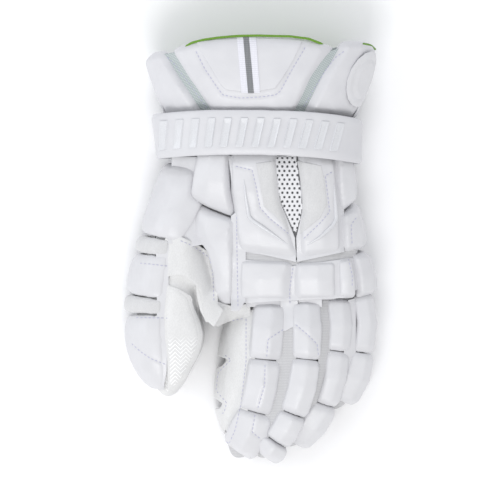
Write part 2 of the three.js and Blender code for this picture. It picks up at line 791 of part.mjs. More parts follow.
// Thumb pads are crescents, thick on the thumb's back and thin at the seam on top
const thumbPads = {
  thumb_roll: { start: 0.01, end: 0.325, from: -38, to: 128, over: 100, thick: 1, thin: 0.45 },
  thumb_band_upper: { start: 0.332, end: 0.395, from: -40, to: 84, thick: 0.9, thin: 0.23 },
  thumb_mid_pad: { start: 0.402, end: 0.585, from: -40, to: 84, thick: 1, thin: 0.27 },
  thumb_band_lower: { start: 0.592, end: 0.65, from: -40, to: 84, thick: 0.9, thin: 0.23 },
  thumb_end_pad: { start: 0.657, end: 0.975, from: -40, to: 84, thick: 0.82, thin: 0.23 },
};
for (const [name, { start, end, from, to, over = to, thick, thin }] of Object.entries(thumbPads)) {
  const rows = [{ at: start, from, to }, { at: (start + end) / 2, from, to }, { at: end, from, to: over }];
  const lines = name === "thumb_end_pad" ? longLines : padLines;
  const look = name.includes("band") ? suede : leather;
  const rises = { height: thumbPadHeight * thick, far: thumbPadHeight * thin };
  keepPad(name, tubes.thumb, rows, { ...rises, rim: 0.2, columns: wrapLines, lines }, look, [handAround, around.thumb]);
}

const palmPanelRows = [
  { near: 0.52, far: 0.56, from: 88, to: 128 },
  { near: 0.7, far: 0.68, from: 88, to: 142 },
  { near: 0.86, far: 0.86, from: 88, to: 138 },
  { near: 0.97, far: 0.97, from: 88, to: 120 },
];
const palmPanelOptions = { height: sheetHeight, edge: 0.8, columns: sheetLines, lines: longLines };
keepPad("thumb_palm_panel", tubes.thumb, palmPanelRows, palmPanelOptions, suede, [handAround]);

// Cuff lining, a trough open below, and the pads on it
const liningAngle = 126;
const troughColumns = 18;
const troughLines = [0, 0.35, 0.7, 1];
function trough(base, height, from, to, angle) {
  const columns = Array.from({ length: troughColumns + 1 }, (_, i) => i / troughColumns);
  const rows = [
    { at: from, from: -angle, to: angle },
    { at: to, from: -angle, to: angle },
  ];
  return pad(hand, rows, { base, height, edge: 1, columns, lines: troughLines });
}
keep("cuff_liner", trough(0, wall, liningEnd + gap, cuffLength, liningAngle), knit);
const liningAround = trough(0, wall + gap, liningEnd + gap, cuffLength, liningAngle);

const cuffTuck = (strapTop - strapPadTuck) / cuffLength;
const strapSag = (strapDroop + strapTilt) / cuffLength;
const cuffPads = {
  cuff_centre_pad: {
    rows: [
      { at: cuffTuck, from: -0.56, to: 0.37 },
      { at: 0.42, from: -0.66, to: 0.5 },
      { at: 0.7, from: -0.76, to: 0.57 },
      { near: 0.84, far: 0.87, bow: 0.13, from: -0.82, to: 0.7 },
    ],
    height: cuffPadHeight,
    columns: wrapLines,
  },
  cuff_wing_thumb: {
    rows: [
      { near: cuffTuck - strapSag, far: cuffTuck, fromAngle: -112, to: -0.65 },
      { at: 0.45, fromAngle: -112, to: -0.75 },
      { near: 0.68, far: 0.83, bow: 0.05, fromAngle: -112, to: -0.88 },
    ],
    height: cuffPadHeight,
    columns: wrapLines,
  },
  cuff_wing_little: {
    rows: [
      { near: cuffTuck, far: cuffTuck - strapSag, from: 0.46, toAngle: 112 },
      { at: 0.45, from: 0.57, toAngle: 112 },
      { near: 0.72, far: 0.7, from: 0.66, toAngle: 112 },
      { near: 0.93, far: 0.84, bow: 0.04, from: 0.78, toAngle: 112 },
    ],
    height: cuffPadHeight,
    columns: wrapLines,
  },
};
for (const [name, { rows, height, columns }] of Object.entries(cuffPads)) {
  keepPad(name, hand, cuffRowsAt(rows), { height, columns, rim: 0.16 }, leather, [liningAround, handAround]);
}

// Inset panel on the centre pad, then the ribbon and its stripe
const cuffSeat = wall + seat + cuffPadHeight + gap;
const insetRows = [
  { at: 0.41, from: -0.39, to: 0.25 },
  { at: 0.6, from: -0.48, to: 0.34 },
  { at: 0.94, from: -0.61, to: 0.43 },
];
const insetOptions = { base: cuffSeat, height: insetHeight, edge: 0.6, rim: 0.1, columns: wrapLines };
keep("cuff_inset_panel", pad(hand, cuffRowsAt(insetRows), insetOptions), leather);

const ribbonRows = [
  { along: 0.42, angle: -3 },
  { along: 0.94, angle: -4.6 },
];
const ribbonSpread = 0.83;
function ribbon(width, base, height) {
  const half = THREE.MathUtils.radToDeg(width / cuffWidth) * ribbonSpread;
  const rows = ribbonRows.map(({ along, angle }) => ({ at: up(along), from: angle - half, to: angle + half }));
  return pad(hand, rows, { base, height, edge: 1, columns: stripColumns, lines: sheetLines });
}
const ribbonSeat = cuffSeat + insetHeight + gap;
keep("cuff_ribbon", ribbon(ribbonWidth, ribbonSeat, ribbonHeight), webbing);
keep("ribbon_stripe", ribbon(stripeWidth, ribbonSeat + ribbonHeight + gap, stripeHeight), stripe);

// Badge on the little finger's wing: a low disc with a rim and a dimple
const badgePlace = { along: 0.55, angle: 70 };
const badgeSides = 16;
const badgeRings = [
  { radius: 0.3, height: 0.45 },
  { radius: 0.55, height: 1 },
  { radius: 0.72, height: 0.55 },
  { radius: 0.86, height: 1 },
  { radius: 1, height: 0.8 },
];
function badge() {
  const place = ({ radius, height }, side, level) => {
    const turn = (2 * Math.PI * side) / badgeSides;
    const station = up(badgePlace.along) + (badgeLength / 2) * radius * Math.cos(turn);
    const angle = badgePlace.angle + badgeAngle * radius * Math.sin(turn);
    const foot = hand.point(station, angle, cuffSeat);
    return foot.addScaledVector(hand.outward(station, angle, 0), level * badgeHeight * height);
  };
  const ringAt = (ring, level) => Array.from({ length: badgeSides }, (_, side) => place(ring, side, level));
  const foot = badgeRings.map((ring) => ringAt(ring, 0));
  const top = [...badgeRings].reverse().map((ring) => ringAt(ring, 1));
  const footCentre = average(foot[0].map((point) => point.clone()));
  const topCentre = average(top[top.length - 1].map((point) => point.clone()));
  return closedRings([...foot, ...top], footCentre, topCentre);
}
keep("cuff_badge", badge(), rubber);

// Wrist strap, over the pads on the back and flat under the wrist, with raised bars
const strapOver = wall + seat + padHeight + gap;
const strapUnder = wall + gap;
const strapTurn = { start: 104, end: 138 };
const strapSides = 30;

function strapRise(angle) {
  const turned = Math.abs(((angle + 180) % 360) - 180);
  const share = THREE.MathUtils.smoothstep(turned, strapTurn.start, strapTurn.end);
  return strapOver + (strapUnder - strapOver) * share;
}

// It hangs lower at its two sides, and lower still at the little finger's
function strapPoint(middleStation, angle, rise) {
  const sine = Math.sin(THREE.MathUtils.degToRad(angle));
  const station = middleStation - strapDroop * sine ** 2 - strapTilt * sine;
  const point = hand.point(station, angle, strapRise(angle));
  const foot = hand.point(station, angle, strapUnder);
  point.addScaledVector(hand.outward(station, angle, 0), rise);
  if (foot.z < strapLift + gap) point.z = Math.min(point.z, strapHeight - rise);
  point.z = Math.max(point.z, strapHeight - rise);
  return point;
}

function strap() {
  const stations = [-strapTop, strapTop];
  const ring = (station, rise) => Array.from(
    { length: strapSides },
    (_, side) => strapPoint(station, (360 * side) / strapSides, rise),
  );
  const outside = stations.map((station) => ring(station, strapHeight));
  const inside = stations.map((station) => ring(station, 0)).reverse();
  const rings = [...outside, ...inside];
  const points = rings.flat();
  const triangles = [];
  for (let at = 0; at < rings.length; at += 1) {
    const start = at * strapSides;
    const next = ((at + 1) % rings.length) * strapSides;
    for (let i = 0; i < strapSides; i += 1) {
      const j = (i + 1) % strapSides;
      triangles.push([start + i, start + j, next + i], [start + j, next + j, next + i]);
    }
  }
  return solid(points, triangles);
}

// A bar is rooted in the strap, and its ends lie apart by its slant, a share of its width
const barReach = 0.64;
const barSlant = 0.8;
const barRoot = 1;
function strapBars() {
  const bars = [];
  const step = barSpread / barCount;
  for (let at = 0; at < barCount; at += 1) {
    const middle = (at - (barCount - 1) / 2) * step;
    const place = (u, v, level) => {
      const station = strapWidth * barReach * (v - 0.5);
      const angle = middle + barWidthAngle * (u - 0.5) + barWidthAngle * barSlant * (v - 0.5);
      return strapPoint(station, angle, strapHeight - barRoot + level * (barRoot + barHeight));
    };
    bars.push(gridSolid(place, [0, 1], [0, 1]));
  }
  return bars;
}
keep("wrist_strap", strapBars().reduce((sum, bar) => sum.add(bar), strap()), rubber);

// Web patch between the thumb and the side of the hand
const webRows = [
  { along: 0.345, angle: 96, at: 0.5, share: -0.95 },
  { along: 0.42, angle: 92, at: 0.6, share: -0.95 },
  { along: 0.52, angle: 92, at: 0.72, share: -0.95 },
  { along: 0.6, angle: 122, at: 0.84, share: -0.96 },
];
function webPatch() {
  const rows = webRows.map((row, at) => ({ ...row, station: at / (webRows.length - 1) }));
  const place = (u, v, level) => {
    const read = (column) => between(rows, column, v);
    const start = tubes.thumb.point(read("along"), read("angle"), wall + seat);
    const end = hand.point(down(read("at")), angleAt(read("share")), wall + seat);
    const run = end.clone().sub(start);
    run.z += 4 * webBow * (1 - 2 * u);
    const normal = hand.frame(0).along.cross(run).normalize();
    const point = start.lerp(end, u).addScaledVector(normal, level * webHeight);
    point.z += 4 * webBow * u * (1 - u);
    return point;
  };
  return clearOf(gridSolid(place, sheetLines, sheetLines), [...rooms, around.thumb, handAround]);
}
keep("thumb_web_patch", webPatch(), suede);

// Scene graph
for (const [name, { shape, colour, roughness }] of Object.entries(pieces)) {
  const mesh = shape.getMesh();
  const geometry = new THREE.BufferGeometry();
  geometry.setAttribute("position", new THREE.BufferAttribute(new Float32Array(mesh.vertProperties), 3));
  geometry.setIndex(new THREE.BufferAttribute(new Uint32Array(mesh.triVerts), 1));
  geometry.computeVertexNormals();
  const material = new THREE.MeshStandardMaterial({ color: colour, roughness, metalness: 0 });
  const piece = new THREE.Mesh(geometry, material);
  piece.name = name;
  part.add(piece);
}

// The origin is under the middle of the glove's box, on the surface that it lies on
const bounds = new THREE.Box3().setFromObject(part);
const middle = bounds.getCenter(new THREE.Vector3());
part.position.set(-middle.x, -middle.y, -bounds.min.z);

export default part;
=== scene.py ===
# %% [markdown]
# # A lacrosse glove, palm down
#
# The glove is a soft object: foam pads under coated leather, suede palm pieces,
# stretch cloth between the fingers and a moulded strap round the wrist. The solids
# that come in as the frame are plain, so nearly every one of them is dressed here.
# The glove points its fingers to -Y, its cuff to +Y and its thumb to -X. Lengths
# from here on are in metres, and the helper mm() turns millimetres into them.

# %% Load the frame
import math

import bmesh
import bpy
import numpy as np
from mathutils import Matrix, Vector
from mathutils.bvhtree import BVHTree


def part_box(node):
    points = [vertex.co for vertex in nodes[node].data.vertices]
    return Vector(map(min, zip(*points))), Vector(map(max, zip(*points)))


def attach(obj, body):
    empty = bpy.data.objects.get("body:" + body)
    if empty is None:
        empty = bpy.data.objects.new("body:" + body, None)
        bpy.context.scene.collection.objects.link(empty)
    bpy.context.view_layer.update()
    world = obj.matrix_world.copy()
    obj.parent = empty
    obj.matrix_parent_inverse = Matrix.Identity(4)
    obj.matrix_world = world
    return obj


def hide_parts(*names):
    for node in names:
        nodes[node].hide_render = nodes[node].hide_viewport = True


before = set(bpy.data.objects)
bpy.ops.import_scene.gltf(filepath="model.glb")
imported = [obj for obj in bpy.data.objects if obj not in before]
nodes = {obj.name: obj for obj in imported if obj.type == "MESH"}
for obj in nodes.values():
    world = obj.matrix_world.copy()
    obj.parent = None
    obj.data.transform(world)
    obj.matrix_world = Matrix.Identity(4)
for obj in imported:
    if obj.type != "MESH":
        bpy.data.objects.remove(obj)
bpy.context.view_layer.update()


def mm(value):
    return value * 0.001


def spot(x, y):
    """Where a place in the 500-wide photograph lies on the plan, in metres."""
    return Vector((mm(0.75 * (x - 250)), mm(0.75 * (250 - y)), 0))


# %% [markdown]
# ## Camera, floor and light
#
# A product photograph like this one is taken from straight above with a long lens,
# so the far end of the glove is drawn as large as the near end. A short lens close
# by would spread the pads apart. The floor is a pale sheet that the eye takes for
# the white of a studio. The light is broad: a large soft panel beyond the
# fingertips lights the edges that face it, and a cooler, weaker one by the cuff
# leaves the opposite slopes slightly blue.

# %% Camera
FRAME_WIDTH = mm(375)
LENS_DISTANCE = 6.0
bpy.ops.object.camera_add(location=(0, 0, LENS_DISTANCE), rotation=(0, 0, 0))
camera = bpy.context.object
camera.data.sensor_width = 36
camera.data.lens = camera.data.sensor_width * (LENS_DISTANCE - mm(35)) / FRAME_WIDTH
camera.data.clip_start = 0.1
camera.data.clip_end = 50
bpy.context.scene.camera = camera

# %% Floor
bpy.ops.mesh.primitive_plane_add(size=12, location=(0, 0, 0))
floor = bpy.context.object
floor.name = "studio_floor"
floor.location.z = mm(-0.3)


# %% Light
def soft_panel(name, place, size, watts, colour):
    bpy.ops.object.light_add(type="AREA", location=place)
    panel = bpy.context.object
    panel.name = name
    panel.data.shape = "RECTANGLE"
    panel.data.size, panel.data.size_y = size
    panel.data.energy = watts
    panel.data.color = colour
    panel.rotation_mode = "QUATERNION"
    panel.rotation_quaternion = (-Vector(place)).to_track_quat("-Z", "Y")
    return panel


soft_panel("key_panel", (-0.25, -1.3, 1.9), (1.2, 0.9), 20, (1, 0.995, 0.985))
soft_panel("cuff_panel", (0.3, 1.5, 1.3), (1.4, 0.8), 5, (0.86, 0.91, 1))
soft_panel("thumb_panel", (-1.6, 0.2, 1.0), (0.8, 1.2), 6, (0.9, 0.94, 1))
world = bpy.context.scene.world or bpy.data.worlds.new("studio")
bpy.context.scene.world = world
world.use_nodes = True
world.node_tree.nodes["Background"].inputs["Color"].default_value = (0.985, 0.99, 1, 1)
world.node_tree.nodes["Background"].inputs["Strength"].default_value = 0.76
bpy.context.scene.view_settings.view_transform = "Standard"

# %% [markdown]
# ## Finishes
#
# Every finish on this glove is white or pale grey, so the eye tells them apart by
# surface alone: how sharp a highlight is and how fine the relief. One small
# function adds a node with its settings and its links, and one turns a colour as
# it is written on the web into the linear colour that a shader wants.


# %% Node and colour helpers
def linear(code):
    channels = [int(code[i : i + 2], 16) / 255 for i in (1, 3, 5)]
    return tuple(c / 12.92 if c <= 0.04045 else ((c + 0.055) / 1.055) ** 2.4 for c in channels) + (1,)


def add(tree, kind, settings=None, **links):
    """Adds a node. A setting is a property or a socket's value, and a link is a socket that feeds it."""
    node = tree.nodes.new(kind)
    for name, value in (settings or {}).items():
        if isinstance(name, int) or name in node.inputs:
            node.inputs[name].default_value = value
        else:
            setattr(node, name, value)
    for name, source in links.items():
        tree.links.new(source, node.inputs[name.replace("_", " ")])
    return node


def new_finish(name, colour, roughness, sheen=0.0, coat=0.0, ior=1.5):
    """A material with its main shader set, its tree and the object's own coordinates."""
    material = bpy.data.materials.new(name)
    material.use_nodes = True
    tree = material.node_tree
    shader = tree.nodes["Principled BSDF"]
    shader.inputs["Base Color"].default_value = linear(colour)
    shader.inputs["Roughness"].default_value = roughness
    shader.inputs["Sheen Weight"].default_value = sheen
    shader.inputs["Coat Weight"].default_value = coat
    shader.inputs["IOR"].default_value = ior
    place = add(tree, "ShaderNodeTexCoord").outputs["Object"]
    return material, tree, shader, place


def tinted(tree, shader, factor, dark, light):
    """Lets a pattern carry the colour from dark to light."""
    mix = add(tree, "ShaderNodeMix", {"data_type": "RGBA"})
    mix.inputs[6].default_value = linear(dark)
    mix.inputs[7].default_value = linear(light)
    tree.links.new(factor, mix.inputs[0])
    tree.links.new(mix.outputs[2], shader.inputs["Base Color"])


def raised(tree, shader, reliefs):
    """Stacks reliefs as bumps, coarse to fine. Each is (height socket, strength, depth in mm)."""
    normal = None
    for height, strength, depth in reliefs:
        bump = add(tree, "ShaderNodeBump", {"Strength": strength, "Distance": mm(depth)}, Height=height)
        if normal is not None:
            tree.links.new(normal, bump.inputs["Normal"])
        normal = bump.outputs["Normal"]
    tree.links.new(normal, shader.inputs["Normal"])


# %% [markdown]
# ### Coated pad leather
#
# The pads are covered with polyurethane-coated synthetic leather: a knitted
# backing under a thin film, embossed with a fine pebble of under a millimetre.
# It has a soft satin highlight. Over foam it also dimples slowly, which a large
# soft noise gives. The pebble here is 0.9 mm, a little coarser than the real
# one, so that it shows at all.


# %% Coated pad leather
def coated_leather(name, dark, light, roughness):
    material, tree, shader, place = new_finish(name, light, roughness, coat=0.08)
    slow = add(tree, "ShaderNodeTexNoise", {"Scale": 1 / mm(14), "Detail": 3, "Roughness": 0.5}, Vector=place)
    pebble = add(tree, "ShaderNodeTexVoronoi", {"Scale": 1 / mm(0.9), "Randomness": 0.9}, Vector=place)
    fine = add(tree, "ShaderNodeTexNoise", {"Scale": 1 / mm(0.35), "Detail": 2}, Vector=place)
    tinted(tree, shader, slow.outputs["Fac"], dark, light)
    limits = {"To Min": roughness - 0.07, "To Max": roughness + 0.09}
    spread = add(tree, "ShaderNodeMapRange", limits, Value=slow.outputs["Fac"])
    tree.links.new(spread.outputs["Result"], shader.inputs["Roughness"])
    raised(tree, shader, [
        (slow.outputs["Fac"], 0.5, 0.5),
        (pebble.outputs["Distance"], 0.22, 0.09),
        (fine.outputs["Fac"], 0.12, 0.03),
    ])
    return material


pad_leather = coated_leather("coated_pad_leather", "#CDCDD0", "#D9D9DC", 0.42)
cuff_leather = coated_leather("coated_cuff_leather", "#CBCBCF", "#D8D8DB", 0.46)

# %% [markdown]
# ### Brushed suede
#
# The palm pieces, the thumb's bands and the patch between thumb and hand are
# brushed microfibre suede. Its nap stands up in short fibres, so it has no
# highlight but a faint bright rim, which is what sheen gives. The nap lies in
# soft clouds, a little darker where it has been stroked the other way.


# %% Brushed suede
def brushed_suede(name, dark, light):
    material, tree, shader, place = new_finish(name, light, 0.92, sheen=0.35)
    stretch = add(tree, "ShaderNodeMapping", {"Scale": (1, 0.35, 1)}, Vector=place)
    coarse = {"Scale": 1 / mm(7), "Detail": 4, "Roughness": 0.65}
    fine = {"Scale": 1 / mm(0.5), "Detail": 3, "Roughness": 0.7}
    clouds = add(tree, "ShaderNodeTexNoise", coarse, Vector=stretch.outputs[0])
    nap = add(tree, "ShaderNodeTexNoise", fine, Vector=stretch.outputs[0])
    both = add(tree, "ShaderNodeMath", {"operation": "MULTIPLY_ADD", 1: 0.5})
    tree.links.new(clouds.outputs["Fac"], both.inputs[0])
    tree.links.new(nap.outputs["Fac"], both.inputs[2])
    span = add(tree, "ShaderNodeMapRange", {"From Min": 0.45, "From Max": 1.05}, Value=both.outputs[0])
    tinted(tree, shader, span.outputs["Result"], dark, light)
    raised(tree, shader, [(clouds.outputs["Fac"], 0.3, 0.4), (nap.outputs["Fac"], 0.4, 0.15)])
    return material


palm_suede = brushed_suede("brushed_suede", "#CFCFCF", "#E3E3E3")
band_suede = brushed_suede("brushed_band_suede", "#C4C4C5", "#D8D8D9")

# %% [markdown]
# ### Cloths
#
# The gussets between the fingers are a grey stretch knit, and the cuff is lined
# and bound with a ribbed one. Both are drawn as fine ridges. Their real loops are
# about 0.4 mm apart, which would vanish at this size, so they are drawn about
# 1 mm apart. The ribbon on the cuff is woven webbing with coarser ribs.


# %% Cloths
def knitted(name, dark, light, rib, depth, turn=(0, 0, 0)):
    material, tree, shader, place = new_finish(name, light, 0.9, sheen=0.25)
    turned = add(tree, "ShaderNodeMapping", {"Rotation": turn}, Vector=place)
    ribs = add(
        tree, "ShaderNodeTexWave",
        {"Scale": 1 / mm(rib) / 3.2, "Distortion": 1.2, "Detail": 1, "Detail Scale": 3, "bands_direction": "X"},
        Vector=turned.outputs[0],
    )
    rows = add(
        tree, "ShaderNodeTexWave",
        {"Scale": 1 / mm(rib * 1.3) / 3.2, "Distortion": 1.2, "Detail": 1, "bands_direction": "Y"},
        Vector=turned.outputs[0],
    )
    loops = add(tree, "ShaderNodeMath", {"operation": "MULTIPLY"})
    tree.links.new(ribs.outputs["Fac"], loops.inputs[0])
    tree.links.new(rows.outputs["Fac"], loops.inputs[1])
    tinted(tree, shader, loops.outputs[0], dark, light)
    raised(tree, shader, [(loops.outputs[0], 0.5, depth)])
    return material


stretch_cloth = knitted("grey_stretch_knit", "#B9B9BB", "#D8D8D9", 0.9, 0.2)
binding_knit = knitted("ribbed_binding_knit", "#A7B0B0", "#CBD2D2", 1.2, 0.3, (0, 0, 0.5))
lining_green = knitted("green_lining_knit", "#5F8A26", "#7EAA3C", 1.0, 0.2)
ribbon_weave = knitted("woven_webbing", "#DADAE2", "#F4F4FA", 1.1, 0.25)
stripe_weave = knitted("woven_grey_stripe", "#77797C", "#97999C", 1.1, 0.2)
net_yarn = knitted("woven_vent_mesh", "#DCDCDF", "#F2F2F4", 0.8, 0.2)
# The vent's backing is a real knit layer, but its dark grey is painted shade for the depth under the open net.
painted_shade_backing = knitted("vent_backing_painted_shade", "#5C5D5F", "#7A7B7D", 1.0, 0.2)

# %% [markdown]
# ### Thread and moulded strap
#
# Seams are sewn with a bonded polyester thread, slightly lilac against the white.
# The raised bars on the strap are a moulded thermoplastic with a silvery, glossy
# face, smoother than anything round it.

# %% Thread and moulded bars
thread, tree, shader, place = new_finish("bonded_thread", "#B9B9CE", 0.6, sheen=0.1)
twist = add(tree, "ShaderNodeTexNoise", {"Scale": 1 / mm(0.4), "Detail": 1}, Vector=place)
raised(tree, shader, [(twist.outputs["Fac"], 0.3, 0.08)])

moulded_bar, tree, shader, place = new_finish("moulded_silver_face", "#D4D5D9", 0.25, coat=0.3, ior=1.5)
speckle = add(tree, "ShaderNodeTexNoise", {"Scale": 1 / mm(0.8), "Detail": 2}, Vector=place)
tinted(tree, shader, speckle.outputs["Fac"], "#C9CACE", "#DEDFE2")
raised(tree, shader, [(speckle.outputs["Fac"], 0.08, 0.05)])

pale_floor, tree, shader, place = new_finish("pale_studio_sheet", "#FBFBFC", 0.9)
paper = add(tree, "ShaderNodeTexNoise", {"Scale": 1 / mm(2), "Detail": 2}, Vector=place)
raised(tree, shader, [(paper.outputs["Fac"], 0.02, 0.05)])
floor.data.materials.clear()
floor.data.materials.append(pale_floor)

# %% [markdown]
# ## Foam pads
#
# A pad is a slab of closed-cell foam between two skins of leather. It is firm,
# crowned on top and drawn in at its seams. Each one starts as a copy of its solid.
# A voxel remesh gives it an even skin, Blender's cloth blows that skin up a little
# as foam does, and a cap keeps it from swelling into the next pad.


# %% Copies and remeshing
def only(piece):
    bpy.ops.object.select_all(action="DESELECT")
    piece.hide_set(False)
    piece.select_set(True)
    bpy.context.view_layer.objects.active = piece


def points_of(piece):
    flat = np.zeros(len(piece.data.vertices) * 3)
    piece.data.vertices.foreach_get("co", flat)
    return flat.reshape(-1, 3)


def move_points(piece, points):
    piece.data.vertices.foreach_set("co", np.ascontiguousarray(points, np.float32).ravel())
    piece.data.update()


def finished(piece, material):
    """Material, slot, smooth shading and the body that it rides on."""
    piece.data.materials.clear()
    piece.data.materials.append(material)
    only(piece)
    bpy.ops.object.shade_smooth()
    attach(piece, "root")
    return piece


def copied(name, label):
    """A copy of a solid of the frame with its doubled points merged."""
    piece = bpy.data.objects.new(label, nodes[name].data.copy())
    bpy.context.scene.collection.objects.link(piece)
    only(piece)
    bpy.ops.object.mode_set(mode="EDIT")
    bpy.ops.mesh.select_all(action="SELECT")
    bpy.ops.mesh.remove_doubles(threshold=mm(0.01))
    bpy.ops.object.mode_set(mode="OBJECT")
    return piece


def even_skin(piece, voxel, rounds, grow=0.0):
    """Remeshes a piece to one even skin, rounds it, and pushes it out by grow, in mm."""
    only(piece)
    piece.data.remesh_voxel_size = mm(voxel)
    piece.data.remesh_voxel_adaptivity = 0
    bpy.ops.object.voxel_remesh()
    if rounds:
        smooth = piece.modifiers.new("rounding", "SMOOTH")
        smooth.factor = 0.5
        smooth.iterations = rounds
        bpy.ops.object.modifier_apply(modifier=smooth.name)
    if grow:
        push = piece.modifiers.new("fullness", "DISPLACE")
        push.strength = mm(grow)
        push.mid_level = 0
        bpy.ops.object.modifier_apply(modifier=push.name)


def puffed(piece, pressure, cap):
    """Foam's swelling, by cloth pressure. No point moves further than cap, in mm."""
    start = points_of(piece)
    only(piece)
    cloth = piece.modifiers.new("foam_pressure", "CLOTH")
    cloth.settings.quality = 3
    cloth.settings.mass = 0.25
    cloth.settings.use_pressure = True
    cloth.settings.uniform_pressure_force = pressure
    cloth.settings.effector_weights.gravity = 0
    cloth.collision_settings.use_collision = False
    cloth.point_cache.frame_start = 1
    cloth.point_cache.frame_end = 12
    for number in range(1, 13):
        bpy.context.scene.frame_set(number)
    bpy.ops.object.modifier_apply(modifier=cloth.name)
    bpy.context.scene.frame_set(1)
    moved = points_of(piece) - start
    far = np.linalg.norm(moved, axis=1, keepdims=True)
    share = np.minimum(1, mm(cap) / np.maximum(far, 1e-9))
    move_points(piece, start + moved * share)


def subdivided(piece, levels=1):
    only(piece)
    surface = piece.modifiers.new("surface", "SUBSURF")
    surface.levels = surface.render_levels = levels
    bpy.ops.object.modifier_apply(modifier=surface.name)


def rounded_copy(name, label, levels):
    """A copy of a solid whose facets are rounded by subdivision."""
    piece = copied(name, label)
    bpy.ops.object.mode_set(mode="EDIT")
    bpy.ops.mesh.tris_convert_to_quads(face_threshold=math.radians(30), shape_threshold=math.radians(40))
    bpy.ops.object.mode_set(mode="OBJECT")
    if levels:
        subdivided(piece, levels)
    return piece


def foam_pad(name, material=pad_leather, voxel=1.4, levels=0):
    pad = rounded_copy(name, name + "_cover", levels)
    even_skin(pad, voxel, 6, 0.7)
    puffed(pad, 4, 0.6)
    subdivided(pad)
    finished(pad, material)
    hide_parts(name)
    return pad


# %% Every pad on the back, the fingers and the thumb
HAND_PADS = [
    "thumb_side_pad_upper", "thumb_side_pad_lower", "back_plate_thumb", "back_plate_little",
    "outer_pad_upper", "outer_pad_lower",
    "knuckle_pad_1", "knuckle_pad_2", "knuckle_pad_3", "knuckle_pad_4",
    "index_pad_1", "index_pad_2", "index_pad_3",
    "middle_pad_1", "middle_pad_2", "middle_pad_3", "middle_pad_4",
    "ring_pad_1", "ring_pad_2", "ring_pad_3", "little_pad_1", "little_pad_2",
    "thumb_roll", "thumb_mid_pad", "thumb_end_pad",
]
pads = {name: foam_pad(name, levels=int(name.startswith("thumb_") and "side" not in name)) for name in HAND_PADS}
for name in ["thumb_band_upper", "thumb_band_lower"]:
    pads[name] = foam_pad(name, band_suede, levels=1)
for name in ["cuff_centre_pad", "cuff_wing_thumb", "cuff_wing_little"]:
    pads[name] = foam_pad(name, cuff_leather, voxel=1.8)
    places = points_of(pads[name])
    dive = np.clip((mm(117) - places[:, 1]) / mm(14), 0, 1.2)
    places[:, 2] -= mm(2.6) * dive**2 * (places[:, 2] > mm(40))
    move_points(pads[name], places)
print("pads:", len(pads), "with", sum(len(p.data.polygons) for p in pads.values()), "faces")

# %% [markdown]
# ## Cloth and suede shells
#
# Under the pads the glove is one soft bag: a suede palm, a cloth back and five
# sleeves, all about 1.6 mm thick and hollow for the hand. The solids give them
# flat facets. Catmull-Clark subdivision rounds those first, and a fine voxel
# remesh then gives one even skin inside and out, which a light smoothing finishes.
# The thumb's wall is thin where its palm panel is let in, so a copy of that panel
# is remeshed with it as a backing.


# %% Shells
def soft_shell(name, material, voxel=1.0, rounds=8, levels=2, backing=None):
    """A shell's own copy, remeshed. A backing is a solid let into it, whose copy closes the wall beneath."""
    shell = rounded_copy(name, name + "_skin", levels)
    if backing:
        under = copied(backing, backing + "_backing")
        even_skin(under, 0.8, 0, 0.3)
        bpy.ops.object.select_all(action="DESELECT")
        under.select_set(True)
        shell.select_set(True)
        bpy.context.view_layer.objects.active = shell
        bpy.ops.object.join()
    even_skin(shell, voxel, rounds)
    finished(shell, material)
    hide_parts(name)
    return shell


shells = {"palm_leather": soft_shell("palm_leather", palm_suede)}
shells["back_fabric"] = soft_shell("back_fabric", stretch_cloth)
for digit in ["index", "middle", "ring", "little"]:
    shells[digit] = soft_shell(digit + "_sleeve", stretch_cloth)
shells["thumb"] = soft_shell("thumb_sleeve", palm_suede, backing="thumb_palm_panel")
print("shells:", {name: len(piece.data.polygons) for name, piece in shells.items()})

# %% [markdown]
# ## Suede panels
#
# Three flat pieces of suede close the glove where fingers and thumb bend: one
# along the index finger's side, one between the thumb and the hand, and one on the
# thumb's palm side. The index panel has a zigzag top edge and two notches, so that
# the finger can curl. They are cut from its copy with a flat outline pulled up
# into a prism, the way a steel rule cuts hide.


# %% Cutting and the three panels
SIDE_PANEL = [
    (251, 312), (250, 362), (245, 405), (239, 432), (230, 449), (222, 443), (208, 432), (206, 425), (209.5, 410),
    (220, 408.5), (222.5, 404), (209, 394), (205, 388), (208, 371), (222, 366), (227.5, 359.5), (210, 353),
    (207, 337), (213, 327.5), (216, 325), (219.5, 323), (223, 317.5), (227, 319.5), (229.5, 315.5), (233, 317),
    (237, 312.5), (240.5, 314),
]
WEB_PATCH = [
    (165, 238), (180, 236), (190, 240.5), (200, 246), (214, 255.5), (217.5, 275), (218, 304), (224, 310), (214, 327),
    (206, 320), (203, 305), (200, 290), (196, 285), (187, 277), (180, 275), (165, 277),
]
THUMB_PANEL = [
    (166.5, 282), (171, 274), (180, 272), (187, 274), (196, 283), (199, 290), (199, 318), (201, 331), (201, 342),
    (197, 356), (190, 371), (179, 385), (167, 392), (163.5, 380), (165, 350), (166, 318),
]


def top_of(x, y, pieces, start=0.2):
    """The highest place on some pieces over a spot of the plan, or None."""
    found = [piece.ray_cast((x, y, start), (0, 0, -1)) for piece in pieces]
    heights = [place.z for hit, place, normal, face in found if hit]
    return max(heights) if heights else None


